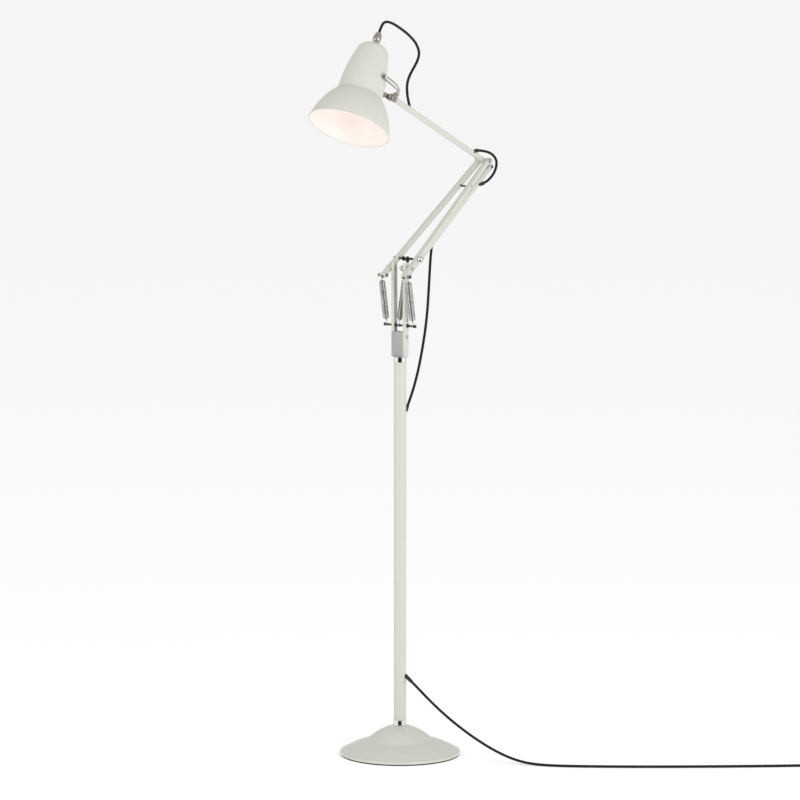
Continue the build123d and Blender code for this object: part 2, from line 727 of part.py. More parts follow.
def yoke_limb(side):
    """One slotted strip of the yoke, bent from the casting round to the shade's side."""
    run = head_joint - tilt_pivot
    reach = run.length
    along = run.normalized()
    points = [(-9.0, yoke_reach), (reach * 0.48, yoke_reach - 3.0), (reach * 0.80, yoke_reach - 20.0),
              (reach * 0.885, yoke_tab), (reach + 6.5, yoke_tab)]
    points = [(t, side * y) for t, y in points]
    line = FilletPolyline(*points, radius=[40.0, 9.0, 3.5])
    strip = extrude(trace(line, yoke_thickness), yoke_width / 2, both=True)
    slot_start = 10.0
    slot_end = reach * 0.66
    slot = Pos((slot_start + slot_end) / 2, side * 40.0, 0) * Box(slot_end - slot_start, 40.0, 5.2)
    strip -= slot
    for centre in (0.0, reach):
        strip -= Pos(centre, 0, 0) * Rot(90, 0, 0) * Cylinder(2.2, 140.0)
    for tip, inward in ((-9.0, 1), (reach + 6.5, -1)):
        for edge in (-1, 1):
            strip -= Pos(tip, 0, edge * yoke_width / 2) * Rot(0, 45, 0) * Box(4.4, 140, 4.4)
    frame = Plane(origin=tilt_pivot, x_dir=along, z_dir=along.cross(Vector(0, 1, 0)))
    return moved_about_head(frame.location * strip)


def yoke_screws():
    """The screws that hold the limbs on the casting."""
    screws = []
    for side in (-1, 1):
        shank = sorted((side * 5.4, side * (yoke_tab + yoke_thickness / 2)))
        head = sorted((side * (yoke_tab + yoke_thickness / 2), side * (yoke_tab + yoke_thickness / 2 + 2.0)))
        screw = y_rod(head_joint, shank[0], shank[1], 2.2 - run_clear) + y_rod(head_joint, head[0], head[1], 3.8)
        screws.append(moved_about_head(screw))
    return screws


def tilt_screws():
    """The screws, fixed in the shade's sides, that the limbs turn on."""
    wall = shade_radius_at(tilt_pivot_height)
    outer = yoke_reach + yoke_thickness / 2
    screws = []
    for side in (-1, 1):
        shank = sorted((side * (wall - 3.2), side * (outer + 0.2)))
        head = sorted((side * (outer + 0.2), side * (outer + 3.4)))
        nut = sorted((side * (wall - 3.6), side * (wall - 1.6)))
        screw = y_rod(tilt_pivot, shank[0], shank[1], 2.2 - run_clear) + y_rod(tilt_pivot, head[0], head[1], 4.6)
        screws.append(moved_about_head(screw + y_hex(tilt_pivot, nut[0], nut[1], 6.5)))
    return screws


def shade_radius_at(height):
    """The neck's outer radius at a height above the rim, on its arc from waist to shoulder."""
    start = Vector(shade_waist_radius, shade_waist_height)
    middle = Vector(shade_waist_radius - shade_neck_taper, (shade_waist_height + shade_neck_height) / 2)
    end = Vector(shade_neck_radius, shade_neck_height)
    arc = ThreePointArc(start, middle, end)
    best = min((abs((arc @ (step / 200)).Y - height), (arc @ (step / 200)).X) for step in range(201))
    return best[1]


def shade_outline(shrink):
    """The shade's side from rim to top, shrunk inwards by a wall thickness."""
    def at(radius, height):
        return (radius - shrink, 0, height)

    rim = at(shade_rim_radius, 0)
    bell_foot = at(shade_rim_radius, 3.1)
    bell_middle = at(75.2, 52.9)
    waist = at(shade_waist_radius, shade_waist_height)
    neck_middle = at(shade_waist_radius - shade_neck_taper, (shade_waist_height + shade_neck_height) / 2)
    neck = at(shade_neck_radius, shade_neck_height)
    shoulder_middle = (32.6 - shrink * 0.8, 0, 201.2 - shrink * 0.6)
    top = (shade_top_radius, 0, shade_length - shrink)
    return rim, bell_foot, bell_middle, waist, neck_middle, neck, shoulder_middle, top


def shade_shell():
    """The spun shade: a bell under a long tapered neck, with a rolled rim and a hole in its top."""
    outer = shade_outline(0)
    inner = shade_outline(shade_wall)
    hole = 12.0
    edges = [
        Line(outer[0], outer[1]),
        ThreePointArc(outer[1], outer[2], outer[3]),
        ThreePointArc(outer[3], outer[4], outer[5]),
        ThreePointArc(outer[5], outer[6], outer[7]),
        Line(outer[7], (hole, 0, shade_length)),
        Line((hole, 0, shade_length), (hole, 0, shade_length - shade_wall)),
        Line((hole, 0, shade_length - shade_wall), inner[7]),
        ThreePointArc(inner[7], inner[6], inner[5]),
        ThreePointArc(inner[5], inner[4], inner[3]),
        ThreePointArc(inner[3], inner[2], inner[1]),
        Line(inner[1], inner[0]),
        Line(inner[0], outer[0]),
    ]
    shell = revolve(make_face(Wire(edges)), Axis.Z)
    shell += Torus(shade_rim_radius - shade_wall / 2, 1.7)
    return shell


def shade_frame_location():
    """The shade's own frame: z along its axis from the rim, x away from the arm."""
    return Plane(origin=shade_centre, x_dir=shade_axis.cross(Vector(0, 1, 0)), z_dir=shade_axis).location


def in_shade(shape):
    """Puts a piece modelled about the shade's axis in its place on the lamp."""
    return moved_about_head(shade_frame_location() * shape)


def drilled_shade():
    """The shade shell with its two side holes."""
    shell = shade_frame_location() * shade_shell()
    return moved_about_head(shell - y_rod(tilt_pivot, -80, 80, 2.2))


def cap_flange():
    """The flared metal foot of the cord grip."""
    low = shade_length
    return turned([(3.6, low), (18.0, low), (18.0, low + 1.6), (11.5, low + 7.0), (8.6, low + 9.5), (3.6, low + 9.5)])


def cord_grip():
    """The bulbous cord grip on top of the shade."""
    low = shade_length + 9.5
    profile = [(cord_radius + 0.1, low), (7.6, low), (7.6, low + 2.5), (9.4, low + 6.5), (9.8, low + 12.0),
               (8.6, low + 18.0), (6.6, low + 23.0), (5.4, low + 26.0), (cord_radius + 0.1, low + 26.0)]
    grip = turned(profile)
    for step in range(6):
        angle = step * 60
        grip -= Rot(0, 0, angle) * Pos(9.8, 0, low + 5.0) * Box(3.0, 2.4, 4.0)
    return grip - grip_screw_frame().location * Cylinder(grip_screw_radius + run_clear, 20.0)


def grip_screw_frame():
    """Where the clamp screw sits: on the grip's side, its z pointing outwards."""
    return Plane(origin=(-8.0, -3.9, shade_length + 22.5), z_dir=(-0.9, -0.44, 0))


def grip_screw():
    """The clamp screw in the side of the cord grip."""
    screw = Pos(0, 0, -0.9) * Cylinder(grip_screw_radius, 6.6) - Pos(0, 0, 2.4) * Box(6, 0.7, 1.2)
    return grip_screw_frame().location * screw - Cylinder(cord_radius + 0.3, 600)


def lampholder():
    """The lampholder under the shade's top, with its threaded nipple up through the cap."""
    top = shade_length - shade_wall
    profile = [(0, top - 62), (holder_radius - 1.5, top - 62), (holder_radius - 1.5, top - 24),
               (holder_radius - 3, top - 20), (holder_radius - 3, top - 8), (11.5, top), (3.4, top),
               (3.4, top - 14), (0, top - 14)]
    socket = Pos(0, 0, top - 50) * Cylinder(13.4, 26)
    return turned(profile) - socket


def holder_ring():
    """The threaded ring that clamps the lampholder's skirt."""
    top = shade_length - shade_wall
    profile = [(holder_radius - 1.4, top - 44), (holder_radius + 3, top - 44), (holder_radius + 3, top - 38),
               (holder_radius - 1.4, top - 38)]
    return turned(profile)


def holder_nipple():
    """The brass tube nipple that clamps the cap, the shade and the lampholder together."""
    low = shade_length - shade_wall - 12.0
    return turned([(2.4, low), (3.35, low), (3.35, shade_length + 8.5), (2.4, shade_length + 8.5)])


def bulb():
    """A pear-shaped lamp with its screw cap in the holder."""
    centre = bulb_centre_height
    top = shade_length - shade_wall
    cap_radius = 13.2
    edges = [
        ThreePointArc((0, 0, centre - bulb_radius), (bulb_radius * 0.7071, 0, centre - bulb_radius * 0.7071),
                      (bulb_radius, 0, centre)),
        ThreePointArc((bulb_radius, 0, centre), (26.6, 0, centre + 15.0), (cap_radius, 0, top - 63.0)),
        Line((cap_radius, 0, top - 63.0), (cap_radius, 0, top - 40.0)),
        Line((cap_radius, 0, top - 40.0), (0, 0, top - 40.0)),
        Line((0, 0, top - 40.0), (0, 0, centre - bulb_radius)),
    ]
    return revolve(make_face(Wire(edges)), Axis.Z)


# ---------------------------------------------------------------- cords
def plan(along, aside, height):
    """A point on the lead's own plan axes: along its heading, aside from it, and up."""
    heading = radians(lead_heading)
    x = along * cos(heading) + aside * sin(heading)
    y = along * sin(heading) - aside * cos(heading)
    return (x, y, height)


def on_slope(distance, height):
    """A point of the lead where it comes down from the pole, turned a little aside from its heading."""
    turn = radians(23.5)
    return plan(distance * cos(turn), distance * sin(turn), height)


exit_side = Vector(cos(radians(lead_heading)), sin(radians(lead_heading)), 0)

floor_z = cord_radius
lead_points = [
    on_slope(13.0, lead_exit_height + 1.2),
    on_slope(42, 162.5),
    on_slope(76, 131.5),
    on_slope(112, 102.5),
    on_slope(149, 76.5),
    on_slope(187, 53.5),
    on_slope(227, 32.5),
    on_slope(268, 16.0),
    on_slope(310, 5.6),
    plan(325, 140, floor_z),
    plan(373, 150.5, floor_z),
    plan(436, 155.5, floor_z),
    plan(508, 158.0, floor_z),
    plan(585, 158.6, floor_z),
    plan(665, 157.6, floor_z),
    plan(745, 155.0, floor_z),
    plan(820, 151.0, floor_z),
    plan(892, 145.5, floor_z),
    plan(961, 137.0, floor_z),
]

coil_centre = plan(982.0, 101.0, 0)

feed_lower_points = [
    (7.3, -10.8, feed_exit_height + 0.0),
    (24.0, -14.5, 840.0),
    (42.0, -15.5, 875.0),
    (58.0, -15.0, 910.0),
    (66.0, -14.4, 931.0),
]
feed_upper_points = [
    (66.0, -14.4, 931.0),
    (73.0, -13.875, 949.375),
    (86.0, -13.0, 990.0),
    (97.0, -11.5, 1035.0),
    (105.0, -9.5, 1080.0),
    (112.0, -7.5, 1122.0),
    (119.0, -5.5, 1158.0),
    (124.5, -4.6, 1180.0),
]
elbow_cord_points = [
    (319.0, -3.0, 1307.7),
    (336.0, -7.0, 1307.5),
    (355.0, -11.0, 1314.5),
    (373.0, -13.0, 1326.5),
    (386.0, -13.2, 1342.0),
    (388.0, -13.2, 1358.0),
    (376.0, -12.5, 1372.0),
    (356.0, -10.0, 1381.5),
    (334.0, -6.0, 1386.0),
    (316.0, -3.0, 1388.0),
    (300.0, -0.5, 1383.5),
]
head_lower_points = [
    (44.0, 0.0, 1500.5),
    (37.0, 0.5, 1518.0),
    (30.0, 1.0, 1542.0),
    (31.5, 1.6, 1567.0),
    (47.0, 2.2, 1587.0),
    (60.0, 2.5, 1598.0),
]
head_upper_points = [
    (60.0, 2.5, 1598.0),
    (74.3, 2.83, 1610.1),
    (86.0, 3.2, 1631.0),
    (72.0, 3.5, 1654.0),
    (44.0, 3.7, 1674.0),
    (10.0, 3.6, 1691.0),
    (-28.0, 3.2, 1707.0),
    (-58.0, 2.9, 1712.0),
    (-73.0, 2.7, 1701.3),
    (-86.5, 2.3, 1679.6),
]


def mains_coil():
    """The put-away length of the lead, wound in a neat ring, as the ring's outer shape."""
    width = coil_rows * cord_diameter
    height = coil_layers * cord_diameter * 0.93
    section = Plane.XZ * Pos(coil_mean_radius, height / 2 + 0.02) * RectangleRounded(width, height, cord_radius * 0.9)
    return Pos(*coil_centre) * revolve(section, Axis.Z)


def cord_tie():
    """The strap round the coil."""
    width = coil_rows * cord_diameter + 2 * slide_gap
    height = coil_layers * cord_diameter * 0.93 + 2 * slide_gap
    band = Box(width + 2.4, 9.0, height + 1.2) - Box(width, 20, height)
    place = Pos(*coil_centre) * Rot(0, 0, -20.0) * Pos(-coil_mean_radius, 0, height / 2 + 0.1)
    strap = place * band
    return (strap & Pos(0, 0, 50) * Box(3000, 3000, 100)) - mains_coil()


plug_offset = coil_mean_radius + cord_diameter
plug_start = plan(982.0 + plug_offset, 101.0 - 14.0, 7.0)
plug_ahead = plan(982.0 + plug_offset, 101.0 - 15.0, 7.0)


def plug_body():
    """The moulded two-pin plug, flat, with its tapered strain relief."""
    frame = Plane(origin=plug_start, x_dir=(0, 0, 1), z_dir=Vector(*plug_ahead) - Vector(*plug_start))
    relief = turned([(0, 0), (cord_radius + 0.8, 0), (6.2, 24.0), (0, 24.0)])
    body = loft([Pos(0, 0, 22.0) * RectangleRounded(12.6, 16.0, 4.0),
                 Pos(0, 0, 38.0) * RectangleRounded(13.6, 33.0, 6.0)])
    body += Pos(0, 0, 38.0) * extrude(RectangleRounded(13.6, 33.0, 6.0), 14.0)
    return frame.location * (relief + body) - mains_coil()


def plug_pins():
    """The plug's two round pins."""
    frame = Plane(origin=plug_start, x_dir=(0, 0, 1), z_dir=Vector(*plug_ahead) - Vector(*plug_start))
    pins = []
    for side in (-1, 1):
        pins.append(frame.location * Pos(0, side * 9.3, 61.5) * Cylinder(2.0, 19.0))
    return pins


# ---------------------------------------------------------------- the lamp
def build():
    """Every node of the lamp, by name."""
    nodes = {
        "base_cover": base_cover(),
        "base_weight": base_weight(),
        "base_pad": base_pad(),
        "pole": pole(),
        "pole_boss": pole_boss(),
        "pole_bolt": pole_bolt(),
        "pole_collars": [tapered_collar(dome_top, collar_radius, pole_radius + collar_wall),
                         tapered_collar(pole_top, pole_radius + collar_wall, collar_radius)],
        "swivel_bush": swivel_bush(),
        "cord_grommets": [grommet(lead_points, lead_relief_length, cord_radius + grommet_wall),
                          grommet(feed_lower_points, 14.0, cord_radius + grommet_wall)],
        "swivel_block": swivel_block(),
        "spindle_clip": spindle_clip(),
        "left_upright": upright(1),
        "right_upright": upright(-1),
        "fork_rivets": fork_rivets(),
        "anchor_rod": anchor_rod(),
        "anchor_nuts": anchor_nuts(),
        "shoulder_bolts": [left_shoulder_bolt(), right_shoulder_bolt()],
        "shoulder_spacers": shoulder_spacers(),
        "left_rail": rail(1),
        "right_rail": rail(-1),
        "tail_pins": tail_pins(),
        "arm_nuts": tail_nuts() + elbow_nuts(),
        "cross_bolt": cross_bolt(),
        "stop_plate": stop_plate(),
        "rail_spacer": rail_spacer(),
        "elbow_bolt": elbow_bolt(),
        "friction_knob": friction_knob(),
        "crank_plate": crank_plate(),
        "crank_pin": crank_pin(),
        "link_bar": link_bar(),
        "link_pin": link_pin(),
        "link_cord_sleeve": cord_sleeve(elbow_cord_points, link_blank()),
        "upper_arm_tube": upper_arm_tube(),
        "tail_fitting": tail_fitting(),
        "arm_cord_sleeve": cord_sleeve(elbow_cord_points[::-1], upper_arm_blank()),
        "head_plug": head_plug(),
        "yoke_casting": yoke_casting(),
        "yoke_limbs": [yoke_limb(1), yoke_limb(-1)],
        "yoke_screws": yoke_screws(),
        "shade_shell": drilled_shade(),
        "tilt_screws": tilt_screws(),
        "cap_flange": in_shade(cap_flange()),
        "cord_grip": in_shade(cord_grip()),
        "grip_screw": in_shade(grip_screw()),
        "lampholder": in_shade(lampholder()),
        "holder_ring": in_shade(holder_ring()),
        "holder_nipple": in_shade(holder_nipple()),
        "bulb": in_shade(bulb()),
        "outer_springs": [spring_at(spring_offset, tail_pin), spring_at(-spring_offset, tail_pin)],
        "middle_spring": spring_at(middle_spring_offset, crank_low),
        "mains_lead": cord_tube("mains_lead", lead_points) - mains_coil(),
        "mains_coil": mains_coil(),
        "cord_tie": cord_tie(),
        "plug": plug_body(),
        "plug_pins": plug_pins(),
        "feed_cord_lower": cord_tube("feed_cord_lower", feed_lower_points),
        "feed_cord_upper": cord_tube("feed_cord_upper", feed_upper_points),
        "elbow_cord": cord_tube("elbow_cord", elbow_cord_points),
        "head_cord_lower": cord_tube("head_cord_lower", head_lower_points),
        "head_cord_upper": cord_tube("head_cord_upper", head_upper_points),
    }
    return nodes


def main():
    os.makedirs("parts", exist_ok=True)
    for name, shape in build().items():
        if isinstance(shape, list):
            shape = Compound(children=[Part() + piece for piece in shape])
        export_step(shape, f"parts/{name}.step")


main()
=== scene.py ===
import json
from math import cos, pi, radians, sin

import bmesh
import bpy
import numpy as np
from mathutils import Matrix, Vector


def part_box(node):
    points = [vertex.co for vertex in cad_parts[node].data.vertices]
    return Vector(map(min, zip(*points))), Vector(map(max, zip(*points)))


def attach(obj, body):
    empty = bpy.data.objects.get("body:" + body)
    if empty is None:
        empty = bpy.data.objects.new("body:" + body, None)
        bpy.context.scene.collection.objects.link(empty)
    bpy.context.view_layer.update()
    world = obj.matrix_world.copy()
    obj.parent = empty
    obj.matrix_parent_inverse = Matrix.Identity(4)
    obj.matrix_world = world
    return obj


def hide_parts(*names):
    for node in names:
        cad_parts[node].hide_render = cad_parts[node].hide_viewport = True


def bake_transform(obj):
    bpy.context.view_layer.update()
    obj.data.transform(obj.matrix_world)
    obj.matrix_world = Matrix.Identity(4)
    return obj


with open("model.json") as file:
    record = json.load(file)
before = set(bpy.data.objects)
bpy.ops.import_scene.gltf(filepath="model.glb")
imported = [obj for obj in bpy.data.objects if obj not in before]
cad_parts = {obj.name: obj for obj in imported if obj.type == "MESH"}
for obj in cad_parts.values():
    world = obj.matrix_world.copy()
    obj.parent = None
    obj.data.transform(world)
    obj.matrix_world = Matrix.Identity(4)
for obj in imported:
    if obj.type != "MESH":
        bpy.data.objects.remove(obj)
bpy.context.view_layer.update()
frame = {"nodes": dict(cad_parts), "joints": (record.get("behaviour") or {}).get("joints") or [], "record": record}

# Adjustable arm floor lamp, in metres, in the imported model's frame: the origin is under the middle of the
# base, +Z is up, the arms fold in the XZ plane and every arm pivot lies along Y.

MM = 0.001

# ---------------------------------------------------------------- places
JOINTS = {joint["name"]: joint for joint in frame["joints"]}


def place(joint):
    """A joint's place, as an array."""
    return np.array(JOINTS[joint]["pos_m"])


def middle(node):
    """The middle of a CAD node's box."""
    low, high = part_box(node)
    return (np.array(low) + np.array(high)) / 2


def swung(vector, axis, angle):
    """A vector turned about a unit axis: its part along the axis stays, and the rest turns by the angle."""
    along = np.dot(vector, axis) * axis
    return along + (vector - along) * cos(angle) + np.cross(axis, vector) * sin(angle)


ORIGIN = np.zeros(3)
Y_AXIS = np.array([0.0, 1.0, 0.0])
Z_AXIS = np.array([0.0, 0.0, 1.0])
SHOULDER = place("shoulder")
ELBOW = place("elbow")
HEAD_JOINT = place("head_roll")
REACH = np.array(JOINTS["head_roll"]["axis"])
CRANK_HIGH = place("link_pivot")
CRANK_LOW = SHOULDER + CRANK_HIGH - ELBOW
ANCHOR = np.array([0.0, 0.0, middle("anchor_rod")[2]])

# The shade leans in the arms' plane, and then turns a little about the upper arm's line.
SHADE_LEAN = radians(31.9)
SHADE_TURN = radians(1.2)
SHADE_CENTRE = np.array([-210.5, 0.0, 1480.6]) * MM
SHADE_AXIS = swung(np.array([sin(SHADE_LEAN), 0.0, cos(SHADE_LEAN)]), REACH, SHADE_TURN)
SHADE_FOOT = HEAD_JOINT + swung(SHADE_CENTRE - HEAD_JOINT, REACH, SHADE_TURN)

LEAD_HEADING = radians(-56.0)
CORD_WIDTH = 6.2
CORD = CORD_WIDTH * MM


# ---------------------------------------------------------------- surfaces
def unit(vectors):
    """Vectors scaled to length one."""
    return vectors / np.linalg.norm(vectors, axis=-1, keepdims=True)


def across(axis):
    """Two unit directions square to an axis and to each other."""
    hint = Y_AXIS if abs(axis[1]) < 0.9 * np.linalg.norm(axis) else Z_AXIS
    first = unit(np.cross(hint, axis))
    return first, np.cross(axis, first)


def smooth(t):
    """The easing 3t^2 - 2t^3 on t held between 0 and 1."""
    t = np.clip(t, 0.0, 1.0)
    return t * t * (3 - 2 * t)


def arc(p, q, r, count=24):
    """Points on the circle through three points of a plane, from the first past the second to the third."""
    (x1, y1), (x2, y2), (x3, y3) = p, q, r
    sides = np.array([[x2 - x1, y2 - y1], [x3 - x1, y3 - y1]])
    halves = np.array([x2**2 - x1**2 + y2**2 - y1**2, x3**2 - x1**2 + y3**2 - y1**2]) / 2
    centre = np.linalg.solve(sides, halves)
    start = np.arctan2(y1 - centre[1], x1 - centre[0])
    via = (np.arctan2(y2 - centre[1], x2 - centre[0]) - start) % (2 * pi)
    end = (np.arctan2(y3 - centre[1], x3 - centre[0]) - start) % (2 * pi)
    sweep = end if via < end else end - 2 * pi
    turn = start + np.linspace(0, sweep, count)
    radius = np.hypot(x1 - centre[0], y1 - centre[1])
    return np.stack([centre[0] + radius * np.cos(turn), centre[1] + radius * np.sin(turn)], -1)


def shell(grid, caps=(False, False), finish=0):
    """A surface over a grid of points, rows along it and columns round it, closed round. Its UV map holds
    the share of a turn and the distance along in metres. caps closes its first and last ring with one face
    each."""
    rows, cols = grid.shape[:2]
    i, j = (a.ravel() for a in np.meshgrid(np.arange(rows - 1), np.arange(cols), indexing="ij"))
    after = (j + 1) % cols
    quads = np.stack([i * cols + j, i * cols + after, (i + 1) * cols + after, (i + 1) * cols + j], -1)
    centres = grid.mean(axis=1)
    steps = np.maximum(np.linalg.norm(np.diff(centres, axis=0), axis=1),
                       np.linalg.norm(np.diff(grid[:, 0], axis=0), axis=1))
    along = np.concatenate([[0.0], np.cumsum(steps)])
    u0, u1 = j / cols, (j + 1) / cols
    v0, v1 = along[i], along[i + 1]
    uv = np.stack([np.stack([u0, v0], -1), np.stack([u1, v0], -1), np.stack([u1, v1], -1),
                   np.stack([u0, v1], -1)], 1)
    faces = quads.tolist()
    corners = [uv.reshape(-1, 2)]
    ring = np.arange(cols)
    if caps[0]:
        faces.append(ring[::-1].tolist())
        corners.append(np.zeros((cols, 2)))
    if caps[1]:
        faces.append((ring + (rows - 1) * cols).tolist())
        corners.append(np.zeros((cols, 2)))
    return grid.reshape(-1, 3), faces, np.concatenate(corners), [finish] * len(faces)


def turned(profile, foot, axis, sides=96, caps=(False, False), finish=0, ribs=None):
    """A lathe surface: each (radius, height) of the profile becomes a ring about the axis above the foot. The
    profile runs up the outside and down the inside. ribs(angle, height) scales the radius."""
    x_dir, y_dir = across(axis)
    angle = np.arange(sides) / sides * 2 * pi
    spokes = np.cos(angle)[:, None] * x_dir + np.sin(angle)[:, None] * y_dir
    profile = np.asarray(profile, float)
    radius = np.repeat(profile[:, :1], sides, axis=1)
    if ribs:
        radius = radius * ribs(angle[None, :], profile[:, 1:])
    grid = foot + radius[..., None] * spokes[None] + profile[:, 1, None, None] * axis
    return shell(grid, caps, finish)


def tube(path, radius, hint, sides, caps=(True, True)):
    """A round tube: a circle of a radius, or of one radius for each point, carried square to the path. The
    hint is a direction that the path never takes."""
    path = np.asarray(path, float)
    tangent = unit(np.gradient(path, axis=0))
    side = unit(np.cross(tangent, hint))
    up = np.cross(tangent, side)
    angle = np.arange(sides) / sides * 2 * pi
    radius = np.broadcast_to(radius, len(path))[:, None, None]
    ring = np.cos(angle)[None, :, None] * side[:, None] + np.sin(angle)[None, :, None] * up[:, None]
    return shell(path[:, None] + radius * ring, caps)


def make_piece(name, shells, finishes, body=None, replaced=(), sharp=28.0):
    """One object from several shells: doubles merged, and smooth but for edges sharper than an angle in
    degrees."""
    vertices, faces, corners, materials = [], [], [], []
    start = 0
    for points, polygons, uv, indices in shells:
        vertices.append(points)
        faces.extend([[corner + start for corner in polygon] for polygon in polygons])
        corners.append(uv)
        materials.extend(indices)
        start += len(points)
    mesh = bpy.data.meshes.new(name)
    mesh.from_pydata(np.concatenate(vertices).tolist(), [], faces)
    layer = mesh.uv_layers.new(name="UVMap")
    layer.data.foreach_set("uv", np.concatenate(corners).astype(np.float32).ravel())
    for finish in finishes:
        mesh.materials.append(finish)
    mesh.polygons.foreach_set("material_index", materials)
    merged = bmesh.new()
    merged.from_mesh(mesh)
    bmesh.ops.remove_doubles(merged, verts=merged.verts, dist=2e-6)
    bmesh.ops.dissolve_degenerate(merged, edges=merged.edges, dist=1e-6)
    merged.to_mesh(mesh)
    merged.free()
    mesh.polygons.foreach_set("use_smooth", [True] * len(mesh.polygons))
    mesh.set_sharp_from_angle(angle=radians(sharp))
    mesh.update()
    piece = bpy.data.objects.new(name, mesh)
    bpy.context.scene.collection.objects.link(piece)
    if body:
        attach(piece, body)
    if replaced:
        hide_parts(*replaced)
    return piece


# ---------------------------------------------------------------- shader groups
def new_group(name, inputs, outputs):
    """An empty shader group with named sockets, with its input and output nodes."""
    tree = bpy.data.node_groups.new(name, "ShaderNodeTree")
    for label, kind, value in inputs:
        socket = tree.interface.new_socket(name=label, in_out="INPUT", socket_type=kind)
        if value is not None:
            socket.default_value = value
    for label, kind in outputs:
        tree.interface.new_socket(name=label, in_out="OUTPUT", socket_type=kind)
    return tree, tree.nodes.new("NodeGroupInput"), tree.nodes.new("NodeGroupOutput")


def maths(tree, operation, *values):
    """A Math node. A value is a number or another node's socket."""
    node = tree.nodes.new("ShaderNodeMath")
    node.operation = operation
    for index, value in enumerate(values):
        if isinstance(value, (int, float)):
            node.inputs[index].default_value = value
        else:
            tree.links.new(value, node.inputs[index])
    return node.outputs[0]


def noise(tree, vector, scale, detail=2.0, rough=0.5):
    """A Noise texture's factor at a scale."""
    node = tree.nodes.new("ShaderNodeTexNoise")
    node.inputs["Detail"].default_value = detail
    node.inputs["Roughness"].default_value = rough
    tree.links.new(vector, node.inputs["Vector"])
    if isinstance(scale, (int, float)):
        node.inputs["Scale"].default_value = scale
    else:
        tree.links.new(scale, node.inputs["Scale"])
    return node.outputs[0]


def remap(tree, value, low, high, to_low, to_high):
    """A value stretched from one span to another, and held inside it."""
    node = tree.nodes.new("ShaderNodeMapRange")
    tree.links.new(value, node.inputs["Value"])
    for label, number in (("From Min", low), ("From Max", high), ("To Min", to_low), ("To Max", to_high)):
        if isinstance(number, (int, float)):
            node.inputs[label].default_value = number
        else:
            tree.links.new(number, node.inputs[label])
    return node.outputs["Result"]


def surface_group():
    """Mottle is slow variation over centimetres, Grain is the skin's own fine texture, and Marks are the few
    small rubbed or dusty spots."""
    tree, given, out = new_group(
        "skin_texture",
        [("Vector", "NodeSocketVector", None), ("Mottle Scale", "NodeSocketFloat", 14.0),
         ("Grain Scale", "NodeSocketFloat", 900.0), ("Marks Scale", "NodeSocketFloat", 60.0)],
        [("Mottle", "NodeSocketFloat"), ("Grain", "NodeSocketFloat"), ("Marks", "NodeSocketFloat")])
    place_in = given.outputs["Vector"]
    mottle = noise(tree, place_in, given.outputs["Mottle Scale"], 3.0, 0.6)
    grain = noise(tree, place_in, given.outputs["Grain Scale"], 2.0, 0.5)
    marks = noise(tree, place_in, given.outputs["Marks Scale"], 6.0, 0.75)
    tree.links.new(remap(tree, mottle, 0.3, 0.7, 0.0, 1.0), out.inputs["Mottle"])
    tree.links.new(grain, out.inputs["Grain"])
    tree.links.new(remap(tree, marks, 0.62, 0.74, 0.0, 1.0), out.inputs["Marks"])
    return tree


def streak_group():
    """Streaks are noise stretched 40 to 1 along one direction, as on drawn, brushed or turned metal."""
    tree, given, out = new_group(
        "drawn_streaks",
        [("Vector", "NodeSocketVector", None), ("Stretch", "NodeSocketVector", (1.0, 1.0, 0.025)),
         ("Scale", "NodeSocketFloat", 1600.0)],
        [("Streaks", "NodeSocketFloat")])
    scaled = tree.nodes.new("ShaderNodeVectorMath")
    scaled.operation = "MULTIPLY"
    tree.links.new(given.outputs["Vector"], scaled.inputs[0])
    tree.links.new(given.outputs["Stretch"], scaled.inputs[1])
    streaks = noise(tree, scaled.outputs[0], given.outputs["Scale"], 2.0, 0.5)
    tree.links.new(streaks, out.inputs["Streaks"])
    return tree


def braid_group():
    """A braided sleeve on a UV map of turns and metres. Two families of yarns cross. Their waves are the
    sines of a full turn times the sum, or the difference, of two numbers: the turns times the count of yarns,
    and the distance over the pitch. The first family is on top where the product of both waves is above
    zero."""
    tree, given, out = new_group(
        "braided_yarns",
        [("Vector", "NodeSocketVector", None), ("Yarns", "NodeSocketFloat", 8.0),
         ("Pitch", "NodeSocketFloat", 0.0022)],
        [("Height", "NodeSocketFloat"), ("Top Yarn", "NodeSocketFloat"), ("Gap Shade", "NodeSocketFloat")])
    split = tree.nodes.new("ShaderNodeSeparateXYZ")
    tree.links.new(given.outputs["Vector"], split.inputs[0])
    around = maths(tree, "MULTIPLY", split.outputs["X"], given.outputs["Yarns"])
    along = maths(tree, "DIVIDE", split.outputs["Y"], given.outputs["Pitch"])
    waves = []
    for operation in ("ADD", "SUBTRACT"):
        phase = maths(tree, operation, around, along)
        waves.append(maths(tree, "SINE", maths(tree, "MULTIPLY", phase, 2 * pi)))
    ridge_a = maths(tree, "ABSOLUTE", waves[0])
    ridge_b = maths(tree, "ABSOLUTE", waves[1])
    over = maths(tree, "GREATER_THAN", maths(tree, "MULTIPLY", waves[0], waves[1]), 0.0)
    under = maths(tree, "SUBTRACT", 1.0, over)
    height = maths(tree, "ADD", maths(tree, "MULTIPLY", ridge_a, over),
                   maths(tree, "MULTIPLY", ridge_b, under))
    tree.links.new(height, out.inputs["Height"])
    tree.links.new(over, out.inputs["Top Yarn"])
    # The gap mask is painted shade: it is 1 in the low ground between the yarns, which is coloured near black.
    tree.links.new(remap(tree, height, 0.0, 0.35, 1.0, 0.0), out.inputs["Gap Shade"])
    return tree


SKIN = surface_group()
STREAKS = streak_group()
BRAID = braid_group()


# ---------------------------------------------------------------- materials
def new_material(name):
    """A material with its Principled shader."""
    material = bpy.data.materials.new(name)
    material.use_nodes = True
    tree = material.node_tree
    return material, tree, tree.nodes["Principled BSDF"]


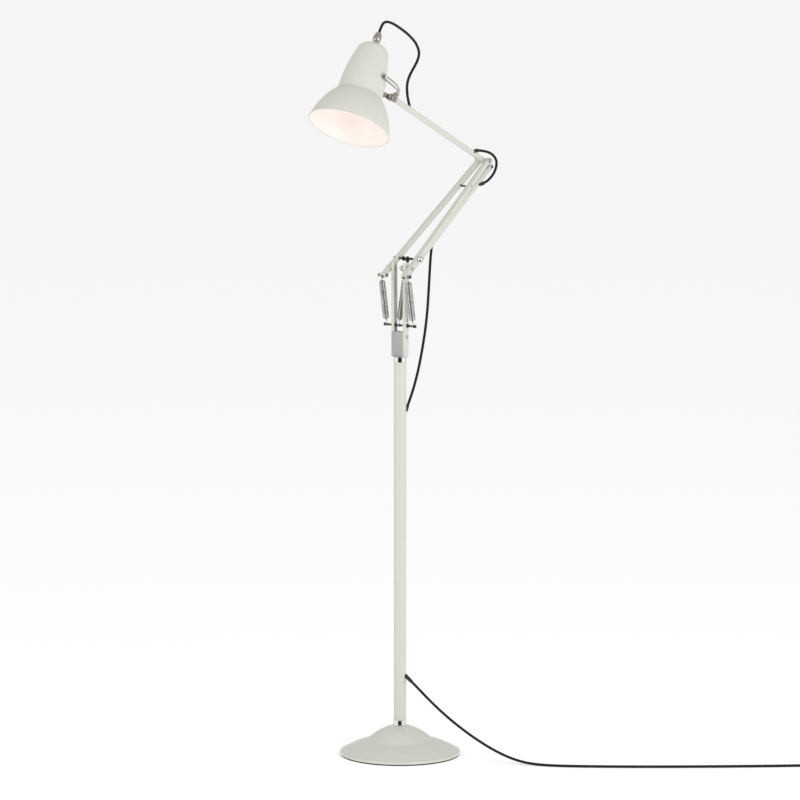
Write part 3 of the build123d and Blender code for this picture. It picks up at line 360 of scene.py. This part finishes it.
def placed_group(tree, group, vector, **values):
    """A shader group placed in a material, with its own values."""
    node = tree.nodes.new("ShaderNodeGroup")
    node.node_tree = group
    tree.links.new(vector, node.inputs["Vector"])
    for label, value in values.items():
        node.inputs[label.replace("_", " ")].default_value = value
    return node


def mixed(tree, factor, first, second):
    """Two colours mixed by a factor. Each is a colour or a socket."""
    node = tree.nodes.new("ShaderNodeMix")
    node.data_type = "RGBA"
    tree.links.new(factor, node.inputs["Factor"])
    for socket, value in ((node.inputs[6], first), (node.inputs[7], second)):
        if isinstance(value, tuple):
            socket.default_value = (*value, 1.0)
        else:
            tree.links.new(value, socket)
    return node.outputs[2]


def bumped(tree, shader, height, strength, distance):
    """A Bump node on the shader's normal."""
    bump = tree.nodes.new("ShaderNodeBump")
    bump.inputs["Strength"].default_value = strength
    bump.inputs["Distance"].default_value = distance
    tree.links.new(height, bump.inputs["Height"])
    tree.links.new(bump.outputs["Normal"], shader.inputs["Normal"])


def skin_material(name, colour, second, rough, metallic=0.0, coat=0.0, coat_rough=0.08, mottle=14.0,
                  grain=900.0, marks=60.0, mark_colour=None, bump=0.12, depth=0.0002, specular=0.5, glow=None,
                  painted_glow_power=0.0):
    """A solid finish: two near colours mottled together, a few marks, roughness that varies with both, and a
    fine skin in the bump."""
    material, tree, shader = new_material(name)
    coordinates = tree.nodes.new("ShaderNodeTexCoord").outputs["Object"]
    skin = placed_group(tree, SKIN, coordinates, Mottle_Scale=mottle, Grain_Scale=grain, Marks_Scale=marks)
    base = mixed(tree, skin.outputs["Mottle"], colour, second)
    if mark_colour:
        base = mixed(tree, skin.outputs["Marks"], base, mark_colour)
    tree.links.new(base, shader.inputs["Base Color"])
    low, high = rough
    uneven = maths(tree, "MULTIPLY", skin.outputs["Marks"], (high - low) * 0.6)
    roughness = maths(tree, "ADD", remap(tree, skin.outputs["Mottle"], 0.0, 1.0, low, high), uneven)
    tree.links.new(roughness, shader.inputs["Roughness"])
    shader.inputs["Metallic"].default_value = metallic
    shader.inputs["Coat Weight"].default_value = coat
    shader.inputs["Coat Roughness"].default_value = coat_rough
    shader.inputs["Specular IOR Level"].default_value = specular
    # glow is painted light: emission on a part that is no lamp, standing in for the bulb's light falling on it.
    if glow:
        shader.inputs["Emission Color"].default_value = (*glow, 1.0)
        shader.inputs["Emission Strength"].default_value = painted_glow_power
    bumped(tree, shader, skin.outputs["Grain"], bump, depth)
    return material


def metal_material(name, colour, second, rough, stretch=(1.0, 1.0, 0.025), scale=1600.0, bump=0.06,
                   mark_colour=None):
    """Bare metal: fine streaks in its roughness and bump, and a faint mottle and a few darker marks."""
    material, tree, shader = new_material(name)
    coordinates = tree.nodes.new("ShaderNodeTexCoord").outputs["Object"]
    skin = placed_group(tree, SKIN, coordinates, Mottle_Scale=45.0, Grain_Scale=1800.0, Marks_Scale=90.0)
    lines = placed_group(tree, STREAKS, coordinates, Stretch=stretch, Scale=scale)
    base = mixed(tree, skin.outputs["Mottle"], colour, second)
    if mark_colour:
        base = mixed(tree, skin.outputs["Marks"], base, mark_colour)
    tree.links.new(base, shader.inputs["Base Color"])
    low, high = rough
    tree.links.new(remap(tree, lines.outputs["Streaks"], 0.25, 0.75, low, high), shader.inputs["Roughness"])
    shader.inputs["Metallic"].default_value = 1.0
    bumped(tree, shader, lines.outputs["Streaks"], bump, 0.0001)
    return material


def braid_material(name, dark, light, yarns, pitch):
    """Braided textile: dark yarns with their raised tops painted lighter as a painted highlight, near black
    painted shade in the gaps between them, and a soft sheen.
    """
    material, tree, shader = new_material(name)
    coordinates = tree.nodes.new("ShaderNodeTexCoord").outputs["UV"]
    braid = placed_group(tree, BRAID, coordinates, Yarns=yarns, Pitch=pitch)
    # The yarns' raised tops are painted lighter: a painted highlight.
    painted_crown_highlight = maths(tree, "POWER", braid.outputs["Height"], 3.0)
    yarn = mixed(tree, painted_crown_highlight, dark, light)
    black = (0.004, 0.004, 0.004)
    tree.links.new(mixed(tree, braid.outputs["Gap Shade"], yarn, black), shader.inputs["Base Color"])
    tree.links.new(remap(tree, braid.outputs["Top Yarn"], 0.0, 1.0, 0.62, 0.78), shader.inputs["Roughness"])
    shader.inputs["Specular IOR Level"].default_value = 0.25
    bumped(tree, shader, braid.outputs["Height"], 0.9, 0.0004)
    return material


CREAM = (0.66, 0.655, 0.595)
CREAM_WARM = (0.645, 0.64, 0.575)
CREAM_SHADE = (0.62, 0.61, 0.545)

arm_paint = skin_material(
    "cream_arm_paint", CREAM, CREAM_WARM, (0.36, 0.46), coat=0.12, mark_colour=CREAM_SHADE, marks=140.0,
    grain=1400.0, bump=0.10)
base_paint = skin_material(
    "cream_gloss_base_paint", CREAM, CREAM_WARM, (0.20, 0.28), coat=0.5, coat_rough=0.06, marks=90.0,
    grain=700.0, bump=0.05, mark_colour=(0.60, 0.59, 0.52))
shade_paint = skin_material(
    "cream_shade_paint", (0.69, 0.685, 0.63), (0.675, 0.67, 0.61), (0.42, 0.52), coat=0.08, marks=80.0,
    grain=1200.0, bump=0.08, mark_colour=(0.64, 0.63, 0.57))
# The lining's glow is painted light: emission that stands in for the bulb's light falling on the inside of the
# shade.
lining_with_painted_glow = skin_material(
    "white_shade_lining", (0.74, 0.69, 0.655), (0.71, 0.66, 0.62), (0.30, 0.40), coat=0.2, grain=900.0,
    bump=0.05, glow=(1.0, 0.84, 0.82), painted_glow_power=0.26)
cast_grey = skin_material(
    "cast_grey_block", (0.52, 0.51, 0.50), (0.42, 0.41, 0.40), (0.45, 0.62), metallic=0.45, grain=650.0,
    marks=240.0, mark_colour=(0.52, 0.51, 0.49), bump=0.5, depth=0.0004)
cast_bronze = skin_material(
    "bronzed_casting", (0.36, 0.33, 0.26), (0.26, 0.235, 0.18), (0.35, 0.5), metallic=0.7, grain=700.0,
    marks=260.0, mark_colour=(0.50, 0.45, 0.36), bump=0.4, depth=0.0003)
cast_iron = skin_material(
    "sand_cast_iron", (0.05, 0.048, 0.045), (0.035, 0.03, 0.028), (0.6, 0.8), metallic=0.5, grain=350.0,
    bump=0.8, depth=0.0006)
foot_felt = skin_material(
    "black_foot_felt", (0.018, 0.018, 0.018), (0.03, 0.03, 0.03), (0.85, 0.95), grain=1500.0, bump=0.9,
    depth=0.0004, specular=0.2)
black_rubber = skin_material(
    "black_rubber", (0.014, 0.014, 0.014), (0.024, 0.023, 0.022), (0.45, 0.6), grain=1600.0, bump=0.3,
    specular=0.4)
plug_black = skin_material(
    "black_plug_plastic", (0.012, 0.012, 0.013), (0.02, 0.02, 0.021), (0.38, 0.5), grain=1100.0, bump=0.35,
    marks=150.0, mark_colour=(0.05, 0.05, 0.05))
white_nylon = skin_material(
    "white_nylon", (0.72, 0.71, 0.66), (0.66, 0.65, 0.60), (0.4, 0.5), grain=900.0, bump=0.1)
# The lampholder's glow is painted light: emission that stands in for the bulb's light falling on it.
holder_with_painted_glow = skin_material(
    "white_lampholder_painted_glow", (0.80, 0.79, 0.74), (0.74, 0.73, 0.68), (0.32, 0.42), coat=0.1, grain=900.0,
    bump=0.08, glow=(1.0, 0.90, 0.76), painted_glow_power=0.12)
strap_weave = skin_material(
    "black_woven_strap", (0.016, 0.016, 0.017), (0.05, 0.05, 0.052), (0.75, 0.9), mottle=400.0, grain=1300.0,
    bump=0.7, depth=0.0003, specular=0.3)
chrome = metal_material("polished_chrome", (0.80, 0.80, 0.80), (0.70, 0.70, 0.71), (0.05, 0.12), bump=0.01)
bright_steel = metal_material("zinc_plated_steel", (0.60, 0.59, 0.57), (0.42, 0.41, 0.39), (0.22, 0.36),
                              mark_colour=(0.22, 0.20, 0.18))
dark_steel = metal_material("blackened_steel", (0.085, 0.082, 0.08), (0.05, 0.048, 0.046), (0.30, 0.46),
                            mark_colour=(0.30, 0.29, 0.28))
spring_steel = metal_material("drawn_spring_wire", (0.70, 0.69, 0.68), (0.50, 0.49, 0.48), (0.16, 0.30),
                              stretch=(1.0, 1.0, 1.0), scale=900.0, mark_colour=(0.26, 0.25, 0.24))
warm_nickel = metal_material("warm_nickel", (0.52, 0.49, 0.43), (0.40, 0.375, 0.33), (0.20, 0.32),
                             mark_colour=(0.34, 0.31, 0.26))
brass = metal_material("turned_brass", (0.68, 0.50, 0.22), (0.60, 0.43, 0.18), (0.18, 0.30))
cord_braid = braid_material("black_braided_cotton", (0.005, 0.0045, 0.0045), (0.030, 0.027, 0.026), 8.0,
                            0.0050)


def bulb_material():
    """A lit opal bulb: white glass with a warm, slightly uneven glow."""
    material, tree, shader = new_material("lit_opal_glass")
    coordinates = tree.nodes.new("ShaderNodeTexCoord").outputs["Object"]
    skin = placed_group(tree, SKIN, coordinates, Mottle_Scale=25.0, Grain_Scale=1500.0, Marks_Scale=120.0)
    tree.links.new(mixed(tree, skin.outputs["Mottle"], (0.94, 0.92, 0.88), (0.90, 0.88, 0.83)),
                   shader.inputs["Base Color"])
    tree.links.new(remap(tree, skin.outputs["Mottle"], 0.0, 1.0, 0.12, 0.2), shader.inputs["Roughness"])
    tree.links.new(mixed(tree, skin.outputs["Mottle"], (1.0, 0.86, 0.66), (1.0, 0.89, 0.72)),
                   shader.inputs["Emission Color"])
    shader.inputs["Emission Strength"].default_value = 0.9
    bumped(tree, shader, skin.outputs["Grain"], 0.03, 0.0001)
    return material


opal_glass = bulb_material()

SLOT_FINISH = {
    "cream_paint": arm_paint, "glossy_base_paint": base_paint, "shade_paint": shade_paint,
    "grey_casting": cast_grey, "iron": cast_iron, "foot_felt": foot_felt, "chrome": chrome,
    "steel": bright_steel, "dark_steel": dark_steel, "spring_steel": spring_steel, "nickel": warm_nickel,
    "bronze_casting": cast_bronze, "nylon": white_nylon, "rubber": black_rubber, "cord_braid": cord_braid,
    "holder_plastic": holder_with_painted_glow, "bulb_glass": opal_glass, "plug_plastic": plug_black, "brass": brass,
    "strap": strap_weave,
}
SLOT_OF = {entry["node"]: entry["material_slot"] for entry in frame["record"]["subparts"]}
for node, part in frame["nodes"].items():
    part.data.materials.clear()
    part.data.materials.append(SLOT_FINISH[SLOT_OF[node]])


# ---------------------------------------------------------------- cords
def smooth_line(name, points, resolution=8):
    """A cord's line: a NURBS spline of order 3 with the route's points as its control points, read back as
    points along it."""
    points = np.asarray(points, float)
    curve = bpy.data.curves.new(name + "_line", "CURVE")
    curve.dimensions = "3D"
    curve.resolution_u = resolution
    spline = curve.splines.new("NURBS")
    spline.points.add(len(points) - 1)
    spline.points.foreach_set("co", np.c_[points, np.ones(len(points))].ravel())
    spline.order_u = 3
    spline.use_endpoint_u = True
    holder = bpy.data.objects.new(name + "_line", curve)
    mesh = bpy.data.meshes.new_from_object(holder)
    flat = np.empty(len(mesh.vertices) * 3)
    mesh.vertices.foreach_get("co", flat)
    bpy.data.objects.remove(holder)
    bpy.data.curves.remove(curve)
    bpy.data.meshes.remove(mesh)
    return flat.reshape(-1, 3)


def make_cord(name, points, hint, replaced, body=None, resolution=8):
    """A braided cord along a route: a tube on the route's own spline."""
    line = smooth_line(name, points, resolution)
    piece = make_piece(name, [tube(line, CORD / 2, hint, sides=14)], [cord_braid],
                       sharp=60.0)
    if body:
        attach(piece, body)
    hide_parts(*replaced)
    return piece


def plan(along, aside, height):
    """A point on the lead's plan axes, in millimetres: along its heading, aside from it, and up."""
    along, aside, height = np.broadcast_arrays(along, aside, height)
    x = along * cos(LEAD_HEADING) + aside * sin(LEAD_HEADING)
    y = along * sin(LEAD_HEADING) - aside * cos(LEAD_HEADING)
    return np.stack([x, y, height], -1) * MM


def on_slope(distance, height):
    """A point of the lead where it comes down from the pole, turned a little aside from its heading."""
    turn = radians(23.5)
    return plan(distance * cos(turn), distance * sin(turn), height)


FLOOR_Z = CORD_WIDTH / 2
COIL_ALONG, COIL_ASIDE = 982.0, 101.0
COIL_RADIUS = 34.0


def coil_turns():
    """The coil's route, a point each 18 degrees. Going round, the radius drops by one cord's width after each
    of the first two turns, the cord climbs on to the upper layer, and the radius grows by a width after each
    of the next two."""
    turn = np.arange(18.0, 1911.0, 18.0)

    def step(start, end):
        return smooth((turn - start) / (end - start))

    inward = step(305, 355) + step(665, 715)
    outward = step(1280, 1330) + step(1640, 1690)
    radius = COIL_RADIUS + CORD_WIDTH * (1 - inward + outward)
    height = FLOOR_Z + 0.05 + CORD_WIDTH * step(975, 1020)
    spread = 1 / cos(radians(9.0))
    angle = np.radians(110.0 - turn)
    return plan(COIL_ALONG + radius * spread * np.cos(angle), COIL_ASIDE + radius * spread * np.sin(angle),
                height)


# The lead's route: (distance, height) down from the pole, and then (along, aside) on the floor.
LEAD_SLOPE = np.array([(13.0, 187.2), (42.0, 162.5), (76.0, 131.5), (112.0, 102.5), (149.0, 76.5),
                       (187.0, 53.5), (227.0, 32.5), (268.0, 16.0), (310.0, 5.6)])
LEAD_FLOOR = np.array([(325.0, 140.0), (373.0, 150.5), (436.0, 155.5), (508.0, 158.0), (585.0, 158.6),
                       (665.0, 157.6), (745.0, 155.6), (820.0, 152.5), (885.0, 149.0), (940.0, 144.5)])
PLUG_ENTRY = plan(COIL_ALONG + 40.2, COIL_ASIDE - 14.0, 7.0)
lead_points = np.concatenate([on_slope(*LEAD_SLOPE.T), plan(*LEAD_FLOOR.T, FLOOR_Z), coil_turns(),
                              [PLUG_ENTRY]])
make_cord("mains_cord", lead_points, Z_AXIS, ("mains_lead", "mains_coil"), body="stand")

# The other routes hold places in millimetres. A cord that crosses two joints is in two pieces, which meet in
# a straight line, because a piece may cross one joint only.
feed_lower_route = np.array([
    (7.3, -10.8, 808.0), (24.0, -14.5, 840.0), (42.0, -15.5, 875.0), (58.0, -15.0, 910.0),
    (66.0, -14.4, 931.0)]) * MM
feed_upper_route = np.array([
    (66.0, -14.4, 931.0), (73.0, -13.875, 949.375), (86.0, -13.0, 990.0), (97.0, -11.5, 1035.0),
    (105.0, -9.5, 1080.0), (112.0, -7.5, 1122.0), (119.0, -5.5, 1158.0), (124.5, -4.6, 1180.0)]) * MM
elbow_route = np.array([
    (319.0, -3.0, 1307.7), (336.0, -7.0, 1307.5), (355.0, -11.0, 1314.5), (373.0, -13.0, 1326.5),
    (386.0, -13.2, 1342.0), (388.0, -13.2, 1358.0), (376.0, -12.5, 1372.0), (356.0, -10.0, 1381.5),
    (334.0, -6.0, 1386.0), (316.0, -3.0, 1388.0), (300.0, -0.5, 1383.5)]) * MM
head_lower_route = np.array([
    (44.0, 0.0, 1500.5), (37.0, 0.5, 1518.0), (30.0, 1.0, 1542.0), (31.5, 1.6, 1567.0), (47.0, 2.2, 1587.0),
    (60.0, 2.5, 1598.0)]) * MM
head_upper_route = np.array([
    (60.0, 2.5, 1598.0), (74.3, 2.83, 1610.1), (86.0, 3.2, 1631.0), (72.0, 3.5, 1654.0), (44.0, 3.7, 1674.0),
    (10.0, 3.6, 1691.0), (-28.0, 3.2, 1707.0), (-58.0, 2.9, 1712.0), (-73.0, 2.7, 1701.3),
    (-86.5, 2.3, 1679.6)]) * MM

LOOSE_CORDS = (
    ("feed_cord_below", "feed_cord_lower", feed_lower_route, "stand", "fork"),
    ("feed_cord_above", "feed_cord_upper", feed_upper_route, "fork", "lower_arm"),
    ("elbow_loop_cord", "elbow_cord", elbow_route, "link", "upper_arm"),
    ("head_cord_below", "head_cord_lower", head_lower_route, "upper_arm", "yoke"),
    ("head_cord_above", "head_cord_upper", head_upper_route, "yoke", "head"),
)
for name, node, route, start_body, end_body in LOOSE_CORDS:
    cord = make_cord(name, route, Y_AXIS, (node,), resolution=16)
    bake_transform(cord)


# ---------------------------------------------------------------- base and pole
def millimetres(*points):
    """Profile points given in millimetres."""
    return np.array(points) * MM


def bow(start, via, end, count):
    """An arc through three profile points given in millimetres."""
    return arc(*millimetres(start, via, end), count)


def bead(centre, radius, start, sweep, count):
    """Points round a small circle given in millimetres, with its angles in degrees."""
    turn = np.radians(np.linspace(start, start + sweep, count))
    return (np.array(centre) + radius * np.stack([np.cos(turn), np.sin(turn)], -1)) * MM


def round_base_cover():
    """The spun cover: rim, flange up to the crease, dome up to the pole, and the same lines a wall inside."""
    profile = np.concatenate([
        millimetres((139.4, 3.0), (140.0, 3.8)),
        bow((140.0, 6.5), (139.1, 8.5), (136.0, 10.0), 8),
        bow((136.0, 10.0), (106.9, 24.8), (76.2, 34.9), 28),
        bow((75.8, 35.2), (47.4, 56.5), (15.1, 69.0), 30),
        bow((15.1, 67.8), (46.4, 55.5), (75.2, 33.8), 30),
        bow((75.2, 33.6), (105.9, 23.7), (134.5, 8.9), 28),
        millimetres((138.4, 6.4), (138.4, 3.0), (139.4, 3.0))])
    make_piece("round_base_cover", [turned(profile, ORIGIN, Z_AXIS, 160)], [base_paint], "stand",
               ["base_cover"])


POLE = 14.5 * MM
POLE_BORE = POLE - 1.5 * MM


def pole_tube():
    """The pole: a plain tube with its upper edge broken."""
    (_, _, bottom), (_, _, top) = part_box("pole")
    edge = 0.4 * MM
    profile = np.array([(POLE_BORE, top), (POLE_BORE, bottom), (POLE, bottom), (POLE, bottom + 0.3),
                        (POLE, bottom + 0.6), (POLE, top - edge), (POLE - edge, top), (POLE_BORE, top)])
    make_piece("pole_tube", [turned(profile, ORIGIN, Z_AXIS, 72)], [arm_paint], "stand",
               ["pole"])


COLLAR_HEIGHT = 12.5 * MM
COLLAR_LIP = 1.3 * MM
COLLAR_WIDE = 16.8 * MM
COLLAR_NARROW = 15.45 * MM


def collar(wide, up):
    """A thin chrome collar that narrows from its wide end between two small rolled lips. up is 1 when the
    narrow end is the upper one, and -1 when it is the lower one."""
    inside = POLE + 0.05 * MM
    narrow = wide + up * COLLAR_HEIGHT
    hair = 0.1 * MM
    lip = COLLAR_LIP + 4 * hair
    profile = np.array([
        (inside, wide), (COLLAR_WIDE - 2 * hair, wide), (COLLAR_WIDE, wide + up * 3 * hair),
        (COLLAR_WIDE, wide + up * COLLAR_LIP), (COLLAR_WIDE - 4 * hair, wide + up * lip),
        (COLLAR_NARROW + 2 * hair, narrow - up * lip), (COLLAR_NARROW + hair, narrow - up * 3 * hair),
        (COLLAR_NARROW - 2 * hair, narrow), (inside, narrow)])
    return turned(profile[::up], ORIGIN, Z_AXIS, 72)


def chrome_collars():
    """The collar at the pole's foot, and the one that flares upwards at its top."""
    (_, _, bottom), (_, _, top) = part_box("pole_collars")
    make_piece("chrome_collars", [collar(bottom, 1), collar(top, -1)], [chrome], "stand",
               ["pole_collars"])


round_base_cover()
pole_tube()
chrome_collars()


# ---------------------------------------------------------------- shade, cap, grip and bulb
RIM = 93.7


def on_shade(profile, sides, finish=0, ribs=None):
    """A lathe surface about the shade's own axis, with heights above the middle of its rim."""
    return turned(profile, SHADE_FOOT, SHADE_AXIS, sides, finish=finish, ribs=ribs)


def shade_bell():
    """The shade: a rolled rim, the bell, the long tapered neck and its round shoulder, painted outside and white
    inside, where the bulb's light on the lining is a painted glow."""
    outside = np.concatenate([
        bead((RIM - 0.6, 0.0), 1.7, 200, 240, 14),
        bow((RIM, 3.1), (75.2, 52.9), (52.1, 83.8), 32),
        bow((51.8, 84.5), (48.9, 137.1), (37.2, 190.0), 32),
        bow((37.2, 190.0), (32.6, 201.2), (25.0, 208.0), 12),
        millimetres((18.0, 208.0), (12.0, 208.0))])
    inside = np.concatenate([
        millimetres((12.0, 206.8), (18.0, 206.8)),
        bow((23.8, 206.8), (31.7, 200.5), (36.0, 189.5), 12),
        bow((36.0, 189.5), (47.7, 137.1), (50.6, 84.1), 32),
        bow((50.9, 83.4), (74.0, 52.9), (RIM - 1.2, 3.1), 32)])
    lining = np.concatenate([outside[-1:], inside, outside[:1]])
    make_piece("shade_bell", [on_shade(outside, 144), on_shade(lining, 144, finish=1)],
               [shade_paint, lining_with_painted_glow], "head", ["shade_shell"])


def grip_flange():
    """The flared flange that clamps the cord grip to the top of the shade."""
    profile = np.concatenate([
        millimetres((3.6, 208.0), (17.7, 208.0)),
        bead((17.2, 208.8), 0.8, -80, 170, 8),
        bow((16.8, 209.6), (11.8, 212.4), (9.8, 215.2), 14),
        millimetres((9.2, 216.2), (8.6, 217.5), (3.6, 217.5))])
    make_piece("grip_flange", [on_shade(profile, 72)], [warm_nickel], "head", ["cap_flange"])


def grip_flats(angle, height):
    """Six shallow flats round the bulb of the grip, deepest at its middle height."""
    strength = np.clip(1 - np.abs(height - 228.0 * MM) / (7.0 * MM), 0, 1)
    return 1 - 0.035 * strength * (1 - np.abs(np.cos(3 * angle))) ** 1.5


def cord_grip_body():
    """The bulbous grip: a neck, two swellings and a taper up to the cord."""
    profile = np.concatenate([
        millimetres((3.2, 217.5), (7.4, 217.5), (7.6, 217.8)),
        bow((7.6, 219.8), (8.9, 222.2), (9.5, 224.8), 10),
        bow((9.6, 225.8), (9.9, 229.0), (9.2, 233.0), 10),
        bow((8.9, 235.0), (7.2, 239.1), (6.0, 242.2), 10),
        millimetres((5.5, 243.3), (3.2, 243.5))])
    make_piece("cord_grip_body", [on_shade(profile, 96, ribs=grip_flats)], [warm_nickel], "head",
               ["cord_grip"])


def pear_bulb():
    """The bulb: a round end, a shoulder and a straight neck."""
    profile = np.concatenate([
        millimetres((0.0, 82.0)),
        bow((0.1, 82.0), (21.2, 90.8), (30.0, 112.0), 24),
        bow((30.0, 112.0), (26.6, 127.0), (13.2, 143.8), 24),
        millimetres((13.2, 155.0), (13.2, 166.8), (0.0, 166.8))])
    make_piece("pear_bulb", [on_shade(profile, 72)], [opal_glass], "head", ["bulb"])


shade_bell()
grip_flange()
cord_grip_body()
pear_bulb()


# ---------------------------------------------------------------- friction knob
def friction_knob():
    """The domed knob on the cross bolt: a short stem, a flat ring and a dome."""
    low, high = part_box("friction_knob")
    foot = np.array([(low[0] + high[0]) / 2, high[1], (low[2] + high[2]) / 2])
    profile = np.concatenate([
        millimetres((2.6, 0.0), (4.8, 0.0), (5.0, 0.2), (5.0, 2.2)),
        bow((5.8, 2.3), (7.4, 3.1), (7.8, 5.0), 10),
        bow((7.8, 5.0), (6.8, 9.0), (2.8, 11.7), 16),
        millimetres((1.2, 12.0), (0.0, 12.0))])
    make_piece("chrome_friction_knob", [turned(profile, foot, -Y_AXIS, 72)], [chrome], "knob",
               ["friction_knob"])


friction_knob()

# ---------------------------------------------------------------- springs
WIRE = 1.0 * MM
WIRE_SIDES = 8
COIL = 6.6 * MM
HOOK_STEM = 11.0 * MM
HOOK_RING = 3.6 * MM
HOOK_WIRE = 0.8 * MM
CONE = 7.0 * MM
SLEEVE = 7.6 * MM
PITCH = 2.04 * WIRE
STEPS_PER_TURN = 16


def spring_line(bottom, top):
    """A tension spring's centre line and its two rings. Its height rises evenly with its turns; its distance
    from the axis eases from the stem out to the coil over a cone's length at each end."""
    length = np.linalg.norm(top - bottom)
    axis = (top - bottom) / length
    side, other = across(axis)
    coiled = length - 2 * HOOK_STEM
    turns = int(coiled / PITCH)
    t = np.linspace(0, 1, turns * STEPS_PER_TURN + 1)
    level = HOOK_STEM + coiled * t
    edge = np.minimum(level - HOOK_STEM, length - HOOK_STEM - level)
    radius = COIL * (0.12 + 0.88 * smooth(edge / CONE + 0.08))
    radius *= smooth(edge / (0.8 * MM))
    angle = t * turns * 2 * pi
    spokes = np.cos(angle)[:, None] * side + np.sin(angle)[:, None] * other
    coil = bottom + level[:, None] * axis + radius[:, None] * spokes
    low_stem = bottom + np.linspace(HOOK_RING, HOOK_STEM, 6)[:-1, None] * axis
    high_stem = bottom + np.linspace(length - HOOK_STEM, length - HOOK_RING, 6)[1:, None] * axis
    line = np.concatenate([low_stem, coil, high_stem])
    turn = np.linspace(0, 2 * pi, 33)[:, None]
    rings = [end + HOOK_RING * (np.cos(turn) * axis + np.sin(turn) * side) for end in (bottom, top)]
    return line, rings, axis


def wire_tube(line, axis):
    """Spring wire along a line."""
    return tube(line, WIRE, axis + 0.001, WIRE_SIDES)


def hook_ring(ring):
    """The closed ring at a hook's end."""
    return tube(ring, HOOK_WIRE, Y_AXIS, WIRE_SIDES, caps=(False, False))


def outer_spring_pair():
    """The two outer springs, from the anchor rod to the tail pins."""
    tail_x, _, tail_z = middle("tail_pins")
    tail_pin = np.array([tail_x, 0.0, tail_z])
    spring_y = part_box("outer_springs")[1][1] - SLEEVE
    shells = []
    for y in (-spring_y, spring_y):
        line, rings, axis = spring_line(ANCHOR + y * Y_AXIS, tail_pin + y * Y_AXIS)
        shells += [wire_tube(line, axis)] + [hook_ring(ring) for ring in rings]
    pair = make_piece("outer_spring_pair", shells, [spring_steel],
                      replaced=["outer_springs"], sharp=60.0)
    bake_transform(pair)


def middle_spring():
    """The middle spring, from the anchor rod to the crank pin. It is in two pieces, because a piece may cross
    one joint only: the long coil crosses the shoulder, and its top end crosses the crank's joint."""
    offset = 2.0 * MM * Y_AXIS
    top_length = 22.0 * MM
    bottom, top = ANCHOR + offset, np.array([CRANK_LOW[0], 0.0, CRANK_LOW[2]]) + offset
    line, rings, axis = spring_line(bottom, top)
    reach = (line - line[0]) @ axis
    split = int(np.searchsorted(reach, reach[-1] + HOOK_RING - top_length))
    points = wire_tube(line, axis)[0].reshape(-1, WIRE_SIDES, 3)
    coil = make_piece("middle_spring_coil", [shell(points[:split + 1], (True, False)), hook_ring(rings[0])],
                      [spring_steel], replaced=["middle_spring"], sharp=60.0)
    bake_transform(coil)
    end = make_piece("middle_spring_top", [shell(points[split:], (False, True)), hook_ring(rings[1])],
                     [spring_steel], replaced=["middle_spring"], sharp=60.0)
    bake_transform(end)


outer_spring_pair()
middle_spring()


# ---------------------------------------------------------------- stage, light and camera
CAMERA_PLACE = (-9.948, -6.710, 2.55)
CAMERA_TILT = radians(81.86)
CAMERA_TURN = radians(-56.0)


def stage_floor():
    """A pale floor that runs far behind the lamp."""
    bpy.ops.mesh.primitive_plane_add(size=160, location=(0, 0, 0))
    floor = bpy.context.object
    floor.name = "floor"
    material, _, shader = new_material("pale_floor")
    shader.inputs["Base Color"].default_value = (0.9, 0.9, 0.9, 1)
    shader.inputs["Emission Color"].default_value = (1, 1, 1, 1)
    shader.inputs["Emission Strength"].default_value = 0.3
    shader.inputs["Roughness"].default_value = 0.9
    shader.inputs["Specular IOR Level"].default_value = 0.1
    floor.data.materials.append(material)


def area_light(name, location, power):
    """A soft square light, three metres wide, aimed at the middle of the lamp."""
    data = bpy.data.lights.new(name, "AREA")
    data.size = 3.0
    data.energy = power
    light = bpy.data.objects.new(name, data)
    bpy.context.scene.collection.objects.link(light)
    light.location = location
    aim = Vector((0, 0, 1.0)) - Vector(location)
    light.rotation_euler = aim.to_track_quat("-Z", "Y").to_euler()


def white_surround():
    """A white world, a little dimmer as a light than it looks."""
    world = bpy.data.worlds.new("white_surround")
    bpy.context.scene.world = world
    world.use_nodes = True
    tree = world.node_tree
    seen = tree.nodes.new("ShaderNodeLightPath").outputs["Is Camera Ray"]
    background = tree.nodes["Background"]
    background.inputs["Color"].default_value = (1, 1, 1, 1)
    tree.links.new(remap(tree, seen, 0.0, 1.0, 0.68, 1.0), background.inputs["Strength"])


def dark_card():
    """A dark card that only shows in reflections. It lies on the floor in front of the lamp, widening from
    its near end, and stands upright from its far end."""
    front = np.array([-0.829, -0.559, 0.0])
    right = np.array([0.559, -0.829, 0.0])
    lift = 1.0 * MM
    rows = ((0.3, 0.2, lift), (3.5, 2.4, lift), (3.5, 2.4, 2.1))
    corners = [tuple(distance * front + side * half_width * right + height * Z_AXIS)
               for distance, half_width, height in rows for side in (-1, 1)]
    mesh = bpy.data.meshes.new("dark_card")
    mesh.from_pydata(corners, [], [(0, 1, 3, 2), (2, 3, 5, 4)])
    card = bpy.data.objects.new("dark_card", mesh)
    bpy.context.scene.collection.objects.link(card)
    card.visible_camera = card.visible_shadow = card.visible_diffuse = False
    dark, _, shader = new_material("dark_card")
    shader.inputs["Base Color"].default_value = (0.01, 0.01, 0.01, 1)
    mesh.materials.append(dark)


def long_lens_camera():
    """A long lens, well above the lamp's top, looking down at it."""
    data = bpy.data.cameras.new("camera")
    data.lens = 236.0
    data.sensor_width = 36.0
    data.clip_end = 300.0
    camera = bpy.data.objects.new("camera", data)
    bpy.context.scene.collection.objects.link(camera)
    camera.location = CAMERA_PLACE
    camera.rotation_euler = (CAMERA_TILT, 0.0, CAMERA_TURN)
    bpy.context.scene.camera = camera


stage_floor()
white_surround()
area_light("right_soft_light", (-2.5, -6.0, 2.6), 130.0)
area_light("left_soft_light", (-6.0, 2.4, 3.4), 60.0)
dark_card()
long_lens_camera()
# Colours are shown as they are lit, with no film curve.
bpy.context.scene.view_settings.view_transform = "Standard"
